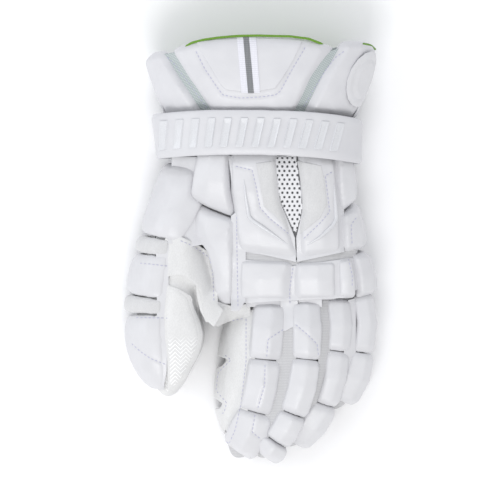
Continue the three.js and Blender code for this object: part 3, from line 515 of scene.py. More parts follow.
def bridged(label, outline, supports, thickness=1.3, cell=0.9, inset=3, ease=5):
    """A sheet cut to a plan outline that lies on pieces and bridges the gaps between them.

    supports are (piece, drop) pairs, drop being how far under the piece's top the sheet passes, in mm.
    The rounded rims of the pieces are left out of the levels, inset cells wide, and the last ease
    rounds let the sheet leave its supports and smooth out."""
    corners = [spot(x, y) for x, y in outline]
    low = Vector((min(c.x for c in corners), min(c.y for c in corners), 0))
    high = Vector((max(c.x for c in corners), max(c.y for c in corners), 0))
    across, along = (int((high[i] - low[i]) / mm(cell)) + 9 for i in (0, 1))
    bpy.ops.object.select_all(action="DESELECT")
    bpy.ops.mesh.primitive_grid_add(x_subdivisions=across, y_subdivisions=along, size=1, location=(0, 0, 0))
    sheet = bpy.context.object
    sheet.name = label
    places = points_of(sheet)
    places[:, 0] = (low.x + high.x) / 2 + places[:, 0] * across * mm(cell)
    places[:, 1] = (low.y + high.y) / 2 + places[:, 1] * along * mm(cell)
    bpy.context.view_layer.update()
    levels = np.full(len(places), np.nan)
    for piece, drop in supports:
        tops = np.array([top_of(x, y, [piece]) or np.nan for x, y, z in places]).reshape(along + 1, across + 1)
        for _ in range(inset if drop > 0 else 0):
            wide = np.pad(tops, 1, mode="edge")
            tops = np.where(np.isnan(wide[:-2, 1:-1] + wide[2:, 1:-1] + wide[1:-1, :-2] + wide[1:-1, 2:]), np.nan, tops)
        levels = np.fmax(levels, tops.ravel() - mm(drop))
    levels = levels.reshape(along + 1, across + 1)
    known = ~np.isnan(levels)
    filled = np.where(known, levels, np.nanmean(levels))
    for number in range(400 + ease):
        wide = np.pad(filled, 1, mode="edge")
        around = (wide[:-2, 1:-1] + wide[2:, 1:-1] + wide[1:-1, :-2] + wide[1:-1, 2:]) / 4
        filled = np.where(known & (number < 400), levels, around)
    places[:, 2] = filled.ravel()
    move_points(sheet, places)
    only(sheet)
    wall = sheet.modifiers.new("sheet_wall", "SOLIDIFY")
    wall.thickness = mm(thickness)
    wall.offset = -1
    bpy.ops.object.modifier_apply(modifier=wall.name)
    kept_inside(sheet, outline_prism(label + "_rule", outline, -5, 90))
    return sheet


def pulled(piece, x, y, reach, shift):
    """A smooth local pull, as with a grab brush. Points near a spot of the photograph move by shift, in mm."""
    places = points_of(piece)
    centre = spot(x, y)
    near = np.hypot(places[:, 0] - centre.x, places[:, 1] - centre.y) / mm(reach)
    weight = np.clip(1 - near**2, 0, 1) ** 2
    move_points(piece, places + weight[:, None] * np.array(shift) * 0.001)


def outline_prism(name, outline, low, high):
    """A closed prism with a plan outline, pulled up from low to high, in mm."""
    bpy.ops.object.select_all(action="DESELECT")
    bpy.ops.mesh.primitive_circle_add(vertices=len(outline), radius=0.01, fill_type="NGON", location=(0, 0, 0))
    prism = bpy.context.object
    prism.name = name
    for vertex, (x, y) in zip(prism.data.vertices, outline):
        place = spot(x, y)
        vertex.co = (place.x, place.y, mm(low))
    bpy.ops.object.mode_set(mode="EDIT")
    bpy.ops.mesh.select_all(action="SELECT")
    bpy.ops.mesh.extrude_region_move(TRANSFORM_OT_translate={"value": (0, 0, mm(high - low))})
    bpy.ops.mesh.select_all(action="SELECT")
    bpy.ops.mesh.normals_make_consistent(inside=False)
    bpy.ops.object.mode_set(mode="OBJECT")
    return prism


def kept_inside(piece, prism):
    only(piece)
    cut = piece.modifiers.new("cut", "BOOLEAN")
    cut.operation = "INTERSECT"
    cut.solver = "EXACT"
    cut.object = prism
    bpy.ops.object.modifier_apply(modifier=cut.name)
    bpy.data.objects.remove(prism)


def suede_panel(name, rule, outline, beneath, material, pull=None, ease=5):
    """The solid's own copy, cut to a rule where one is given, joined to a sheet that widens its top."""
    side = rounded_copy(name, name + "_side", 1)
    if pull:
        pulled(side, *pull)
    if rule:
        kept_inside(side, outline_prism(name + "_rule", rule, -5, 90))
    cover = bridged(name + "_suede", outline, beneath + [(side, -0.5)], ease=ease)
    bpy.ops.object.select_all(action="DESELECT")
    side.select_set(True)
    cover.select_set(True)
    bpy.context.view_layer.objects.active = cover
    bpy.ops.object.join()
    even_skin(cover, 0.8, 3)
    finished(cover, material)
    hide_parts(name)
    return cover


LINER = [
    (138, 78), (152, 66), (163, 58), (176, 54), (184, 47), (200, 41), (237, 36), (257, 36), (292, 38), (311, 41),
    (331, 49), (345, 46), (360, 45), (372, 52), (380, 66), (380, 180), (138, 180),
]
liner = rounded_copy("cuff_liner", "cuff_liner_skin", 2)
kept_inside(liner, outline_prism("liner_rule", LINER, -5, 90))
even_skin(liner, 1.0, 4)
shells["cuff"] = finished(liner, binding_knit)
liner.data.materials.append(lining_green)
liner_low, liner_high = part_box("cuff_liner")
liner_axis = (liner_low + liner_high) / 2
for face in liner.data.polygons:
    outward = Vector((face.center.x - liner_axis.x, 0, face.center.z - liner_axis.z))
    face.material_index = int(face.normal.dot(outward.normalized()) < -0.2)
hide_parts("cuff_liner")

THUMB_PULL = (202, 338, 27, (5.0, 0, 0))
pulled(shells["thumb"], *THUMB_PULL)
SIDE_TOP = [
    (256, 308), (255, 362), (249, 405), (243, 432), (231, 448), (226, 430), (224, 405), (224, 380), (228, 360),
    (226, 340), (225, 321), (229.5, 315.5), (233, 317), (237, 312.5), (240.5, 314),
]
index_pads = [(pads[f"index_pad_{number}"], 2.6) for number in (1, 2, 3)]
side_panel = suede_panel("index_side_panel", SIDE_PANEL, SIDE_TOP, index_pads, palm_suede)
web_patch = suede_panel(
    "thumb_web_patch", WEB_PATCH, WEB_PATCH,
    [(pads["thumb_side_pad_lower"], 1.6), (pads["thumb_mid_pad"], 2.0), (pads["thumb_band_upper"], 2.0)], palm_suede,
)

# %% [markdown]
# ### Printed suede
#
# The suede on the thumb's palm side carries a grip print in its lower half. Here
# it is a plain herringbone: thin silicone lines that zigzag, 3 mm apart. A
# ping-pong of one coordinate makes the zigzag, and a wave of the other makes the
# lines. They stand a little proud, are smoother than the nap and fade out upwards.

# %% The printed panel
printed_suede = brushed_suede("herringbone_print_on_suede", "#D2D2D2", "#E6E6E6")
tree = printed_suede.node_tree
shader = tree.nodes["Principled BSDF"]
place = add(tree, "ShaderNodeTexCoord").outputs["Object"]
axes = add(tree, "ShaderNodeSeparateXYZ", None, Vector=place)
zigzag = add(tree, "ShaderNodeMath", {"operation": "PINGPONG", 1: mm(4)})
tree.links.new(axes.outputs["X"], zigzag.inputs[0])
along = add(tree, "ShaderNodeMath", {"operation": "ADD"})
tree.links.new(axes.outputs["Y"], along.inputs[0])
tree.links.new(zigzag.outputs[0], along.inputs[1])
lines = add(tree, "ShaderNodeMath", {"operation": "PINGPONG", 1: mm(1.5)})
tree.links.new(along.outputs[0], lines.inputs[0])
printed = add(tree, "ShaderNodeMapRange", {"From Min": mm(0.95), "From Max": mm(1.15)}, Value=lines.outputs[0])
lower = add(tree, "ShaderNodeMapRange", {"From Min": mm(-64), "From Max": mm(-70)}, Value=axes.outputs["Y"])
print_mask = add(tree, "ShaderNodeMath", {"operation": "MULTIPLY"})
tree.links.new(printed.outputs["Result"], print_mask.inputs[0])
tree.links.new(lower.outputs["Result"], print_mask.inputs[1])
nap_colour = shader.inputs["Base Color"].links[0].from_socket
silicone = add(tree, "ShaderNodeMix", {"data_type": "RGBA"})
silicone.inputs[7].default_value = linear("#FAFAFA")
tree.links.new(print_mask.outputs[0], silicone.inputs[0])
tree.links.new(nap_colour, silicone.inputs[6])
tree.links.new(silicone.outputs[2], shader.inputs["Base Color"])
gloss = add(tree, "ShaderNodeMapRange", {"To Min": 0.92, "To Max": 0.4}, Value=print_mask.outputs[0])
tree.links.new(gloss.outputs["Result"], shader.inputs["Roughness"])
proud = add(tree, "ShaderNodeBump", {"Strength": 0.6, "Distance": mm(0.4)}, Height=print_mask.outputs[0])
tree.links.new(shader.inputs["Normal"].links[0].from_socket, proud.inputs["Normal"])
tree.links.new(proud.outputs["Normal"], shader.inputs["Normal"])

palm_panel = suede_panel(
    "thumb_palm_panel", None, THUMB_PANEL,
    [(shells["thumb"], -0.9), (web_patch, -0.4), (pads["thumb_mid_pad"], 1.0), (pads["thumb_band_lower"], 1.0),
     (pads["thumb_end_pad"], 1.0)],
    printed_suede, THUMB_PULL, 12,
)
print("panels:", [len(piece.data.polygons) for piece in (side_panel, web_patch, palm_panel)])

# %% [markdown]
# ## Seam leather, gussets and bindings
#
# Between two sewn pads the cover dips into a shallow valley that is still leather,
# and between two fingers a light grey knit gusset bridges the gap. Both would be
# black slots if nothing passed between the pads. Each is a bridging sheet: its level
# is taken from the pads on both sides, a little lower than their tops, and relaxed
# across the gap as a stretched cloth would be.

# %% Sheets that bridge the gaps
BRIDGES = {
    "thumb_seam_leather": (
        [(228, 156), (275, 156), (280, 203), (288, 221), (295, 238), (296, 262), (246, 251), (246, 300), (239, 311),
         (231, 311), (231, 216), (236, 212)],
        ["thumb_side_pad_upper", "thumb_side_pad_lower", "back_plate_thumb", "back_plate_little", "knuckle_pad_1"],
        1.7, pad_leather, "pad_leather",
    ),
    "little_seam_leather": (
        [(302, 156), (344, 156), (344, 252), (297, 262), (296, 238), (302, 212), (302, 190)],
        ["back_plate_thumb", "back_plate_little", "outer_pad_upper", "outer_pad_lower"],
        1.7, pad_leather, "pad_leather",
    ),
    "thumb_root_leather": (
        [(172, 157), (204, 157), (200, 190), (197, 214), (206, 244), (190, 247), (168, 243), (170, 200)],
        ["thumb_side_pad_upper", "thumb_side_pad_lower", "thumb_roll"], 2.2, pad_leather, "pad_leather",
    ),
    "thumb_edge_leather": (
        [(156, 243), (169.5, 244), (169, 264), (168.5, 318), (168, 350), (166.5, 374), (164, 386),
         (159, 384), (157, 350), (157, 300)],
        ["thumb_band_upper", "thumb_mid_pad", "thumb_band_lower", "thumb_end_pad"], 0.6, pad_leather, "pad_leather",
    ),
    "back_flex_cloth": (
        [(240, 248), (262, 252), (296, 260), (330, 251), (356, 248), (356, 260), (318, 265), (300, 268), (290, 268),
         (243, 262)],
        ["back_plate_thumb", "back_plate_little", "outer_pad_lower", "knuckle_pad_1", "knuckle_pad_2",
         "knuckle_pad_3", "knuckle_pad_4"], 3.0, stretch_cloth, "stretch_fabric",
    ),
    "knuckle_flex_leather": (
        [(246, 297), (322, 297), (322, 307), (246, 307)],
        ["knuckle_pad_1", "knuckle_pad_2", "index_pad_1", "middle_pad_1"], 4.2, pad_leather, "pad_leather",
    ),
    "index_root_suede": (
        [(213, 300), (232, 306), (250, 303), (251, 316), (240, 319), (228, 322), (217, 327), (210, 320)],
        ["thumb_side_pad_lower", "knuckle_pad_1", "index_pad_1"], 4.2, palm_suede, "palm_suede",
    ),
    "finger_root_leather": (
        [(280, 300), (298, 300), (297, 329), (292, 327), (285, 331), (281, 330)],
        ["knuckle_pad_1", "knuckle_pad_2", "index_pad_1", "middle_pad_1"], 2.0, pad_leather, "pad_leather",
    ),
    "knuckle_seam_leather": (
        [(243, 259), (292, 266), (350, 258), (358, 258), (358, 289), (343, 298), (243, 303)],
        ["knuckle_pad_1", "knuckle_pad_2", "knuckle_pad_3", "knuckle_pad_4"], 1.9, pad_leather, "pad_leather",
    ),
    "index_gusset": (
        [(284, 326), (297, 326), (296, 362), (292, 384), (284, 410), (272, 430), (262, 452), (250, 458), (248, 450),
         (262, 424), (268, 408), (276, 366), (277, 330)],
        ["index_pad_1", "index_pad_2", "index_pad_3", "middle_pad_1", "middle_pad_2", "middle_pad_3", "middle_pad_4"],
        3.0, stretch_cloth, "stretch_fabric",
    ),
    "middle_gusset": (
        [(320, 300), (334, 300), (330, 352), (322, 385), (314, 412), (304, 425), (300, 420), (306, 408), (318, 364)],
        ["middle_pad_1", "middle_pad_2", "middle_pad_3", "ring_pad_1", "ring_pad_2", "ring_pad_3"],
        3.0, stretch_cloth, "stretch_fabric",
    ),
    "ring_gusset": (
        [(348, 300), (356, 298), (356, 352), (346, 392), (338, 404), (334, 398), (344, 352)],
        ["ring_pad_1", "ring_pad_2", "little_pad_1", "little_pad_2"], 2.4, pad_leather, "pad_leather",
    ),
}
WEB_FOLD = [(196, 285), (206, 287), (211, 300), (213, 322), (206, 322), (200, 310), (197, 297)]
bridges = {}
for name, (outline, beside, drop, material, slot) in BRIDGES.items():
    extra = [(side_panel, 0.2), (web_patch, 0.2)] if name == "index_root_suede" else []
    bridges[name] = bridged(name, outline, [(pads[pad], drop) for pad in beside] + extra)
    finished(bridges[name], material)
bridges["web_fold_suede"] = bridged(
    "web_fold_suede", WEB_FOLD, [(web_patch, 0.4), (side_panel, 0.6)], ease=12,
)
for name in ["web_fold_suede", "index_root_suede", "thumb_seam_leather", "knuckle_seam_leather"]:
    even_skin(bridges[name], 0.65, 2)
finished(bridges["web_fold_suede"], palm_suede)
print("bridges:", {name: len(piece.data.polygons) for name, piece in bridges.items()})

# %% [markdown]
# ### Knit bindings
#
# The wings are bound with a ribbed knit tape along the edges that face the centre
# pad. A tape like this is folded over the raw edge, so it shows as a flat, slightly
# crowned band as high as the pads beside it.

# %% Bindings
BINDINGS = {
    "thumb_wing_binding": [
        (162, 55), (176, 53), (185, 66), (196, 82), (209, 102), (215, 114), (203, 114), (192, 98), (178, 80),
    ],
    "little_wing_binding": [
        (329, 52), (347, 47), (338, 57), (329, 69), (314, 94), (304, 114), (290, 116), (297, 100), (307, 82), (318, 65),
    ],
}
for name, outline in BINDINGS.items():
    bridges[name] = bridged(
        name, outline, [(pads[pad], 1.2) for pad in ["cuff_centre_pad", "cuff_wing_thumb", "cuff_wing_little"]], 2.0
    )
    even_skin(bridges[name], 0.8, 2)
    finished(bridges[name], binding_knit)

# %% [markdown]
# ## Trim on the back
#
# Two leather vees frame the vent, each with a thin moulded ridge beside it, and
# an open woven mesh fills the vent. The vees, and the panel and ribbon on the
# cuff, are too thin for foam. Each is a sheet laid on the pads beneath it and cut
# to its outline. Only the badge keeps its solid's shape.


# %% Thin trim
def thin_trim(name, material, voxel=0.6, rounds=3, levels=1, lift=(0, 0, 0.9)):
    """An overlay, lifted by as much as the pads beneath it swell, in mm."""
    trim = rounded_copy(name, name + "_trim", levels)
    move_points(trim, points_of(trim) + np.array(lift) * 0.001)
    even_skin(trim, voxel, rounds)
    finished(trim, material)
    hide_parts(name)
    return trim


trim = {}


def overlay(name, outline, beneath, lift, thickness, material, voxel=0.6):
    """A thin piece sewn flat on others: laid on their surface, cut to its outline and softened at its edges."""
    cover = bridged(name + "_overlay", outline, [(piece, -lift) for piece in beneath], thickness, 0.8, ease=4)
    even_skin(cover, voxel, 2)
    finished(cover, material)
    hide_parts(name)
    bpy.context.view_layer.update()
    return cover


VEES = {
    "vee_thumb": [
        (256, 164), (275, 161), (278, 190), (281, 203), (288, 219), (293, 231), (291, 233), (275, 215.5), (264, 207),
        (260, 186),
    ],
    "vee_little": [
        (297, 161), (321, 166), (324, 180), (326.5, 205), (320, 218), (310, 226), (299, 235), (298, 228), (302.5, 210),
        (302, 195), (300, 180),
    ],
}
back_plates = [pads["back_plate_thumb"], pads["back_plate_little"]]
for name, outline in VEES.items():
    trim[name] = overlay(name, outline, back_plates, 0.6, 1.2, band_suede)


def piped(label, path, pieces, width, height, material, sink=0.3, taper=0.25, inward=(0, 0)):
    """A moulded or sewn cord along a path, sunk a little in what lies beneath and pointed at both ends.

    The level is read at a place moved by inward, in mm, for a cord that runs just outside the pieces."""
    corners = np.array([tuple(spot(x, y))[:2] for x, y in path])
    steps = np.linalg.norm(np.diff(corners, axis=0), axis=1)
    reach = np.concatenate([[0], np.cumsum(steps)])
    marks = np.linspace(0, reach[-1], int(reach[-1] / mm(0.7)) + 2)
    line = np.stack([np.interp(marks, reach, corners[:, axis]) for axis in (0, 1)], axis=1)
    for _ in range(4):
        line[1:-1] = (line[:-2] + 2 * line[1:-1] + line[2:]) / 4
    heights = np.array([top_of(x + mm(inward[0]), y + mm(inward[1]), pieces) or np.nan for x, y in line])
    heights = np.interp(marks, marks[~np.isnan(heights)], heights[~np.isnan(heights)])
    for _ in range(8):
        heights[1:-1] = (heights[:-2] + 2 * heights[1:-1] + heights[2:]) / 4
    ring = 12
    points, faces = [], []
    for number, (x, y) in enumerate(line):
        ahead, behind = line[min(number + 1, len(line) - 1)], line[max(number - 1, 0)]
        side = Vector((ahead[1] - behind[1], behind[0] - ahead[0], 0)).normalized()
        share = number / (len(line) - 1)
        full = max(min(min(share, 1 - share) / max(taper, 1e-6), 1), 0.04) ** 0.6
        for corner in range(ring):
            turn = 2 * math.pi * corner / ring
            up = mm(height) * full * math.sin(turn) - mm(sink)
            out = side * (mm(width) / 2 * full * math.cos(turn))
            points.append(Vector((x, y, heights[number] + up)) + out)
    for number in range(len(line) - 1):
        for corner in range(ring):
            a, b = number * ring + corner, number * ring + (corner + 1) % ring
            faces.append((a, b, b + ring, a + ring))
    faces.append(tuple(reversed(range(ring))))
    faces.append(tuple(range(len(points) - ring, len(points))))
    mesh = bpy.data.meshes.new(label)
    mesh.from_pydata(points, [], faces)
    cord = bpy.data.objects.new(label, mesh)
    bpy.context.scene.collection.objects.link(cord)
    only(cord)
    bpy.ops.object.mode_set(mode="EDIT")
    bpy.ops.mesh.select_all(action="SELECT")
    bpy.ops.mesh.normals_make_consistent(inside=False)
    bpy.ops.object.mode_set(mode="OBJECT")
    return finished(cord, material)


bpy.context.view_layer.update()
RIDGES = {
    "ridge_thumb": [(244, 180), (246, 200), (249, 217), (253, 221), (268, 231), (287, 244)],
    "ridge_little": [(333.5, 184), (335, 205), (336, 219), (332, 226), (320, 237), (307, 245)],
}
for name, path in RIDGES.items():
    trim[name] = piped(
        name + "_cord", path, list(pads.values()), 3.0, 2.0, moulded_bar, sink=0.0, taper=0.35
    )
    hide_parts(name)
cuff_pads = [pads["cuff_centre_pad"], pads["cuff_wing_thumb"], pads["cuff_wing_little"]]
LINING_EDGES = {
    "lining_edge": [
        (184, 49), (192, 44), (204, 41), (220, 38.8), (237, 37.4), (257, 37), (290, 37.8), (308, 40), (324, 46),
    ],
    "lining_edge_wing": [(362, 44.5), (370, 45.5), (376, 50)],
    "lining_corner": [(294, 116), (298, 113), (302, 109)],
}
for name, path in LINING_EDGES.items():
    trim[name] = piped(name, path, cuff_pads, 1.8, 0.9, lining_green, sink=3.0, taper=0.03, inward=(0, -6))
INSET = [
    (197, 43), (201, 52), (211, 69), (221, 86), (226, 91), (240, 92.5), (250, 93), (260, 92), (275, 89.5), (284, 77),
    (294, 60), (300, 47), (302, 42), (290, 40.5), (250, 39.5), (215, 41),
]
trim["inset"] = overlay("cuff_inset_panel", INSET, [pads["cuff_centre_pad"]], 1.0, 1.8, cuff_leather, 0.7)
trim["ribbon"] = overlay(
    "cuff_ribbon", [(237, 38), (256, 38), (260, 94), (241.5, 94)], [trim["inset"], pads["cuff_centre_pad"]],
    0.6, 1.1, ribbon_weave, 0.4,
)
trim["stripe"] = overlay(
    "ribbon_stripe", [(243, 38.5), (249, 38.5), (254, 94.3), (248, 94.3)], [trim["ribbon"]], 0.25, 0.8, stripe_weave,
    0.35,
)
trim["badge"] = thin_trim("cuff_badge", pad_leather, voxel=0.4, rounds=1, levels=0, lift=(0.1, 0, 0))
print("trim:", {name: len(piece.data.polygons) for name, piece in trim.items()})

# %% [markdown]
# ### Vent
#
# The vent is a spacer mesh: two knitted faces with a staggered row of slots every
# 3 mm. A grid has the right cells for it. Two cells by two are left out for every
# slot, the grid is laid on the vent's solid, and a wall with one subdivision
# rounds the square holes.

# %% The net
VENT = [
    (275, 156), (278, 189), (281, 203), (288, 219), (295, 234), (298, 228), (302, 210), (301.5, 195), (299, 180),
    (296, 156),
]
NET_CELL = (0.75, 0.82)
NET_SIZE = (32, 84)
vent_low, vent_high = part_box("vent_mesh")
vent_middle = (vent_low + vent_high) / 2
bpy.ops.object.select_all(action="DESELECT")
bpy.ops.mesh.primitive_grid_add(x_subdivisions=NET_SIZE[0], y_subdivisions=NET_SIZE[1], size=1, location=(0, 0, 0))
net = bpy.context.object
net.name = "vent_net"
bpy.ops.object.mode_set(mode="EDIT")
bpy.ops.mesh.select_all(action="DESELECT")
edit = bmesh.from_edit_mesh(net.data)
outline = [spot(x, y) for x, y in VENT]


def inside(x, y):
    """Whether a place on the plan is inside the vent's outline."""
    turns = 0
    for first, second in zip(outline, outline[1:] + outline[:1]):
        if (first.y > y) != (second.y > y):
            turns += x < first.x + (y - first.y) / (second.y - first.y) * (second.x - first.x)
    return turns % 2 == 1


def net_place(share_x, share_y):
    return tuple(vent_middle[i] + (share_x, share_y)[i] * NET_SIZE[i] * mm(NET_CELL[i]) for i in (0, 1))


for face in edit.faces:
    middle = face.calc_center_median()
    column, row = int((middle.x + 0.5) * NET_SIZE[0]), int((middle.y + 0.5) * NET_SIZE[1])
    slot_column = (2 * column + 5 * (row // 4 % 2)) % 10 < 4
    face.select = (slot_column and row % 4 < 2) or not inside(*net_place(middle.x, middle.y))
bmesh.update_edit_mesh(net.data)
bpy.ops.mesh.delete(type="FACE")
bpy.ops.mesh.select_all(action="SELECT")
bpy.ops.mesh.delete_loose()
bpy.ops.object.mode_set(mode="OBJECT")
# The backing sheet lies only 2.6 mm under the plates. Its dark grey colour is painted shade that stands in for the
# depth of the vent's slots.
VENT_BED = [(271, 156), (275, 189), (278, 203), (285, 222), (295, 240), (301, 230), (306, 210), (304, 190), (300, 156)]
net_bed = bridged(
    "vent_backing", VENT_BED, [(pads["back_plate_thumb"], 2.6), (pads["back_plate_little"], 2.6)],
)
finished(net_bed, painted_shade_backing)
bpy.context.view_layer.update()
places = points_of(net)
for index, (share_x, share_y, _) in enumerate(places):
    x, y = net_place(share_x, share_y)
    places[index] = (x, y, (top_of(x, y, [net_bed]) or vent_high.z) + mm(1.1))
move_points(net, places)
only(net)
settle = net.modifiers.new("settle", "SMOOTH")
settle.iterations = 4
settle.use_x = settle.use_y = False
bpy.ops.object.modifier_apply(modifier=settle.name)
wall = net.modifiers.new("net_wall", "SOLIDIFY")
wall.thickness = mm(0.9)
bpy.ops.object.modifier_apply(modifier=wall.name)
subdivided(net, 2)
finished(net, net_yarn)
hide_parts("vent_mesh")
print("net:", len(net.data.polygons), "faces")

# %% [markdown]
# ## Wrist strap
#
# The strap is one padded band that wraps the wrist, with a row of slanted bars
# moulded on its face. It could be remeshed like the shells, but its bars would go
# soft. So a smooth band is read from the solid instead: rays look in from all
# round at the two plain edges of the band, and a cylinder with many sides takes
# those places. The bars are then one bevelled box, copied and laid on it.

# %% Reading the band
strap_low, strap_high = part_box("wrist_strap")
STRAP_MIDDLE = (strap_low + strap_high) / 2
strap_tree = BVHTree.FromPolygons(
    [v.co for v in nodes["wrist_strap"].data.vertices], [p.vertices for p in nodes["wrist_strap"].data.polygons]
)
STRAP_SIDES = 120


def band_edges():
    """For each angle: where the band starts and ends along Y, and how far out its face is there."""
    rows = []
    for side in range(STRAP_SIDES):
        turn = 2 * math.pi * side / STRAP_SIDES
        out = Vector((math.sin(turn), 0, math.cos(turn)))
        hits = []
        for step in range(int((strap_high.y - strap_low.y) / mm(0.5))):
            y = strap_low.y + mm(0.5) * (step + 0.5)
            start = Vector((STRAP_MIDDLE.x, y, STRAP_MIDDLE.z)) + out * 0.2
            place = strap_tree.ray_cast(start, -out)[0]
            if place is not None and (place - start).length < 0.19:
                hits.append((y, 0.2 - (place - start).length))
        near, far = hits[0], hits[-1]
        inner = hits[3][1], hits[-4][1]
        rows.append((near[0], far[0], inner[0], inner[1]))
    return np.array(rows)


band = band_edges()
for _ in range(3):
    band = (np.roll(band, 1, axis=0) + 2 * band + np.roll(band, -1, axis=0)) / 4


def band_place(turn, share, rise):
    """A place on the band: turn in radians from the top, share from its finger edge to its cuff edge."""
    at = turn / (2 * math.pi) * STRAP_SIDES
    low, part = int(math.floor(at)), at - math.floor(at)
    row = band[low % STRAP_SIDES] * (1 - part) + band[(low + 1) % STRAP_SIDES] * part
    radius = row[2] * (1 - share) + row[3] * share + rise
    y = row[0] * (1 - share) + row[1] * share
    x = STRAP_MIDDLE.x + radius * math.sin(turn)
    return Vector((x - mm(6) * min(max(-x / mm(68), 0), 1) ** 2, y, STRAP_MIDDLE.z + radius * math.cos(turn)))


# %% The band itself
bpy.ops.object.select_all(action="DESELECT")
bpy.ops.mesh.primitive_cylinder_add(
    vertices=STRAP_SIDES, radius=1, depth=1, end_fill_type="NOTHING", location=(0, 0, 0), rotation=(math.pi / 2, 0, 0)
)
strap_band = bpy.context.object
strap_band.name = "wrist_strap_band"
bpy.ops.object.transform_apply(location=False, rotation=True, scale=False)
bpy.ops.object.mode_set(mode="EDIT")
bpy.ops.mesh.select_all(action="DESELECT")
edit = bmesh.from_edit_mesh(strap_band.data)
for edge in edit.edges:
    edge.select = abs(edge.verts[0].co.y - edge.verts[1].co.y) > 0.5
bmesh.update_edit_mesh(strap_band.data)
bpy.ops.mesh.subdivide(number_cuts=13)
bpy.ops.object.mode_set(mode="OBJECT")
for vertex in strap_band.data.vertices:
    turn = math.atan2(vertex.co.x, vertex.co.z) % (2 * math.pi)
    share = min(max(vertex.co.y + 0.5, 0), 1)
    hem = min(share, 1 - share) / 0.14
    roll = mm(-1.1) * (1 - min(hem, 1)) ** 2 + mm(0.35) * math.exp(-((hem - 1.0) ** 2) * 6)
    vertex.co = band_place(turn, share, roll)
only(strap_band)
wall = strap_band.modifiers.new("band_wall", "SOLIDIFY")
wall.thickness = mm(2.4)
wall.offset = -1
bpy.ops.object.modifier_apply(modifier=wall.name)
bpy.ops.object.mode_set(mode="EDIT")
bpy.ops.mesh.select_all(action="SELECT")
bpy.ops.mesh.normals_make_consistent(inside=False)
bpy.ops.object.mode_set(mode="OBJECT")
subdivided(strap_band)
finished(strap_band, cuff_leather)
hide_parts("wrist_strap")
print("band:", len(strap_band.data.polygons), "faces")

# %% Raised bars
BAR_COUNT = 12
BAR_REACH = (164, 336)
band_turns = np.linspace(-1.45, 1.45, 291)
band_across = np.array([band_place(turn % (2 * math.pi), 0.5, 0).x for turn in band_turns])
bpy.ops.object.select_all(action="DESELECT")
bpy.ops.mesh.primitive_cube_add(size=1, location=(0, 0, 0))
bar_pattern = bpy.context.object
bar_pattern.name = "bar_pattern"
bpy.ops.object.mode_set(mode="EDIT")
bpy.ops.mesh.select_all(action="DESELECT")
edit = bmesh.from_edit_mesh(bar_pattern.data)
for face in edit.faces:
    face.select = face.normal.z > 0.9
bmesh.update_edit_mesh(bar_pattern.data)
bpy.ops.mesh.inset(thickness=0.2)
bpy.ops.transform.translate(value=(0, 0, -0.42))
bpy.ops.mesh.select_all(action="SELECT")
bpy.ops.mesh.bevel(offset=0.06, segments=2, affect="EDGES")
bpy.ops.mesh.subdivide(number_cuts=1)
bpy.ops.object.mode_set(mode="OBJECT")
bar_shape = points_of(bar_pattern)
for number in range(BAR_COUNT):
    bar = bpy.data.objects.new(f"strap_bar_{number + 1:02d}", bar_pattern.data.copy())
    bpy.context.scene.collection.objects.link(bar)
    middle = spot(BAR_REACH[0] + (BAR_REACH[1] - BAR_REACH[0]) * number / (BAR_COUNT - 1), 0).x
    laid = []
    for across, along_bar, up in bar_shape:
        turn = np.interp(middle + mm(5.4) * across + mm(4.5) * along_bar, band_across, band_turns)
        laid.append(band_place(turn % (2 * math.pi), 0.5 + 0.62 * along_bar, mm(0.35) + mm(1.7) * up))
    move_points(bar, np.array([tuple(place) for place in laid]))
    finished(bar, moulded_bar)
    bar.data.shade_flat()
bpy.data.objects.remove(bar_pattern)
print("bars:", BAR_COUNT)

# %% [markdown]
# ## Stitches
#
# The pads and panels are sewn with a lock stitch of about 3 mm. Each stitch is a
# short thread that lies on the leather and dips in at both ends, so a sphere drawn
# out to a small bead stands for it. The rows are read from the photograph, laid on
# whatever lies beneath, and the leather under them is pressed in.


# %% Rows of stitches
def walked(path, pitch):
    """Places and directions every pitch, in mm, along a path of the photograph."""
    corners = np.array([tuple(spot(x, y))[:2] for x, y in path])
    steps = np.linalg.norm(np.diff(corners, axis=0), axis=1)
    reach = np.concatenate([[0], np.cumsum(steps)])
    marks = np.arange(mm(pitch) / 2, reach[-1], mm(pitch))
    return np.stack([np.interp(marks, reach, corners[:, axis]) for axis in (0, 1)], axis=1)


def pressed(pieces, path, depth=0.5, width=1.3):
    """Presses a groove into the tops of pieces along a path."""
    line = walked(path, 0.5)
    for piece in pieces:
        places = points_of(piece)
        upper = places[:, 2] > places[:, 2].mean()
        near = np.flatnonzero(upper)
        if not len(near):
            continue
        low, high = line.min(axis=0) - mm(3), line.max(axis=0) + mm(3)
        flat = places[near, :2]
        near = near[((flat > low) & (flat < high)).all(axis=1)]
        for index in near:
            far = np.min(np.hypot(*(line - places[index, :2]).T))
            places[index, 2] -= mm(depth) * math.exp(-((far / mm(width)) ** 2))
        move_points(piece, places)


bpy.ops.object.select_all(action="DESELECT")
bpy.ops.mesh.primitive_uv_sphere_add(segments=8, ring_count=6, radius=0.5, location=(0, 0, 0))
bead = bpy.context.object
bead.name = "stitch_pattern"
bead_points = points_of(bead)
bead_faces = [list(face.vertices) for face in bead.data.polygons]
bpy.data.objects.remove(bead)


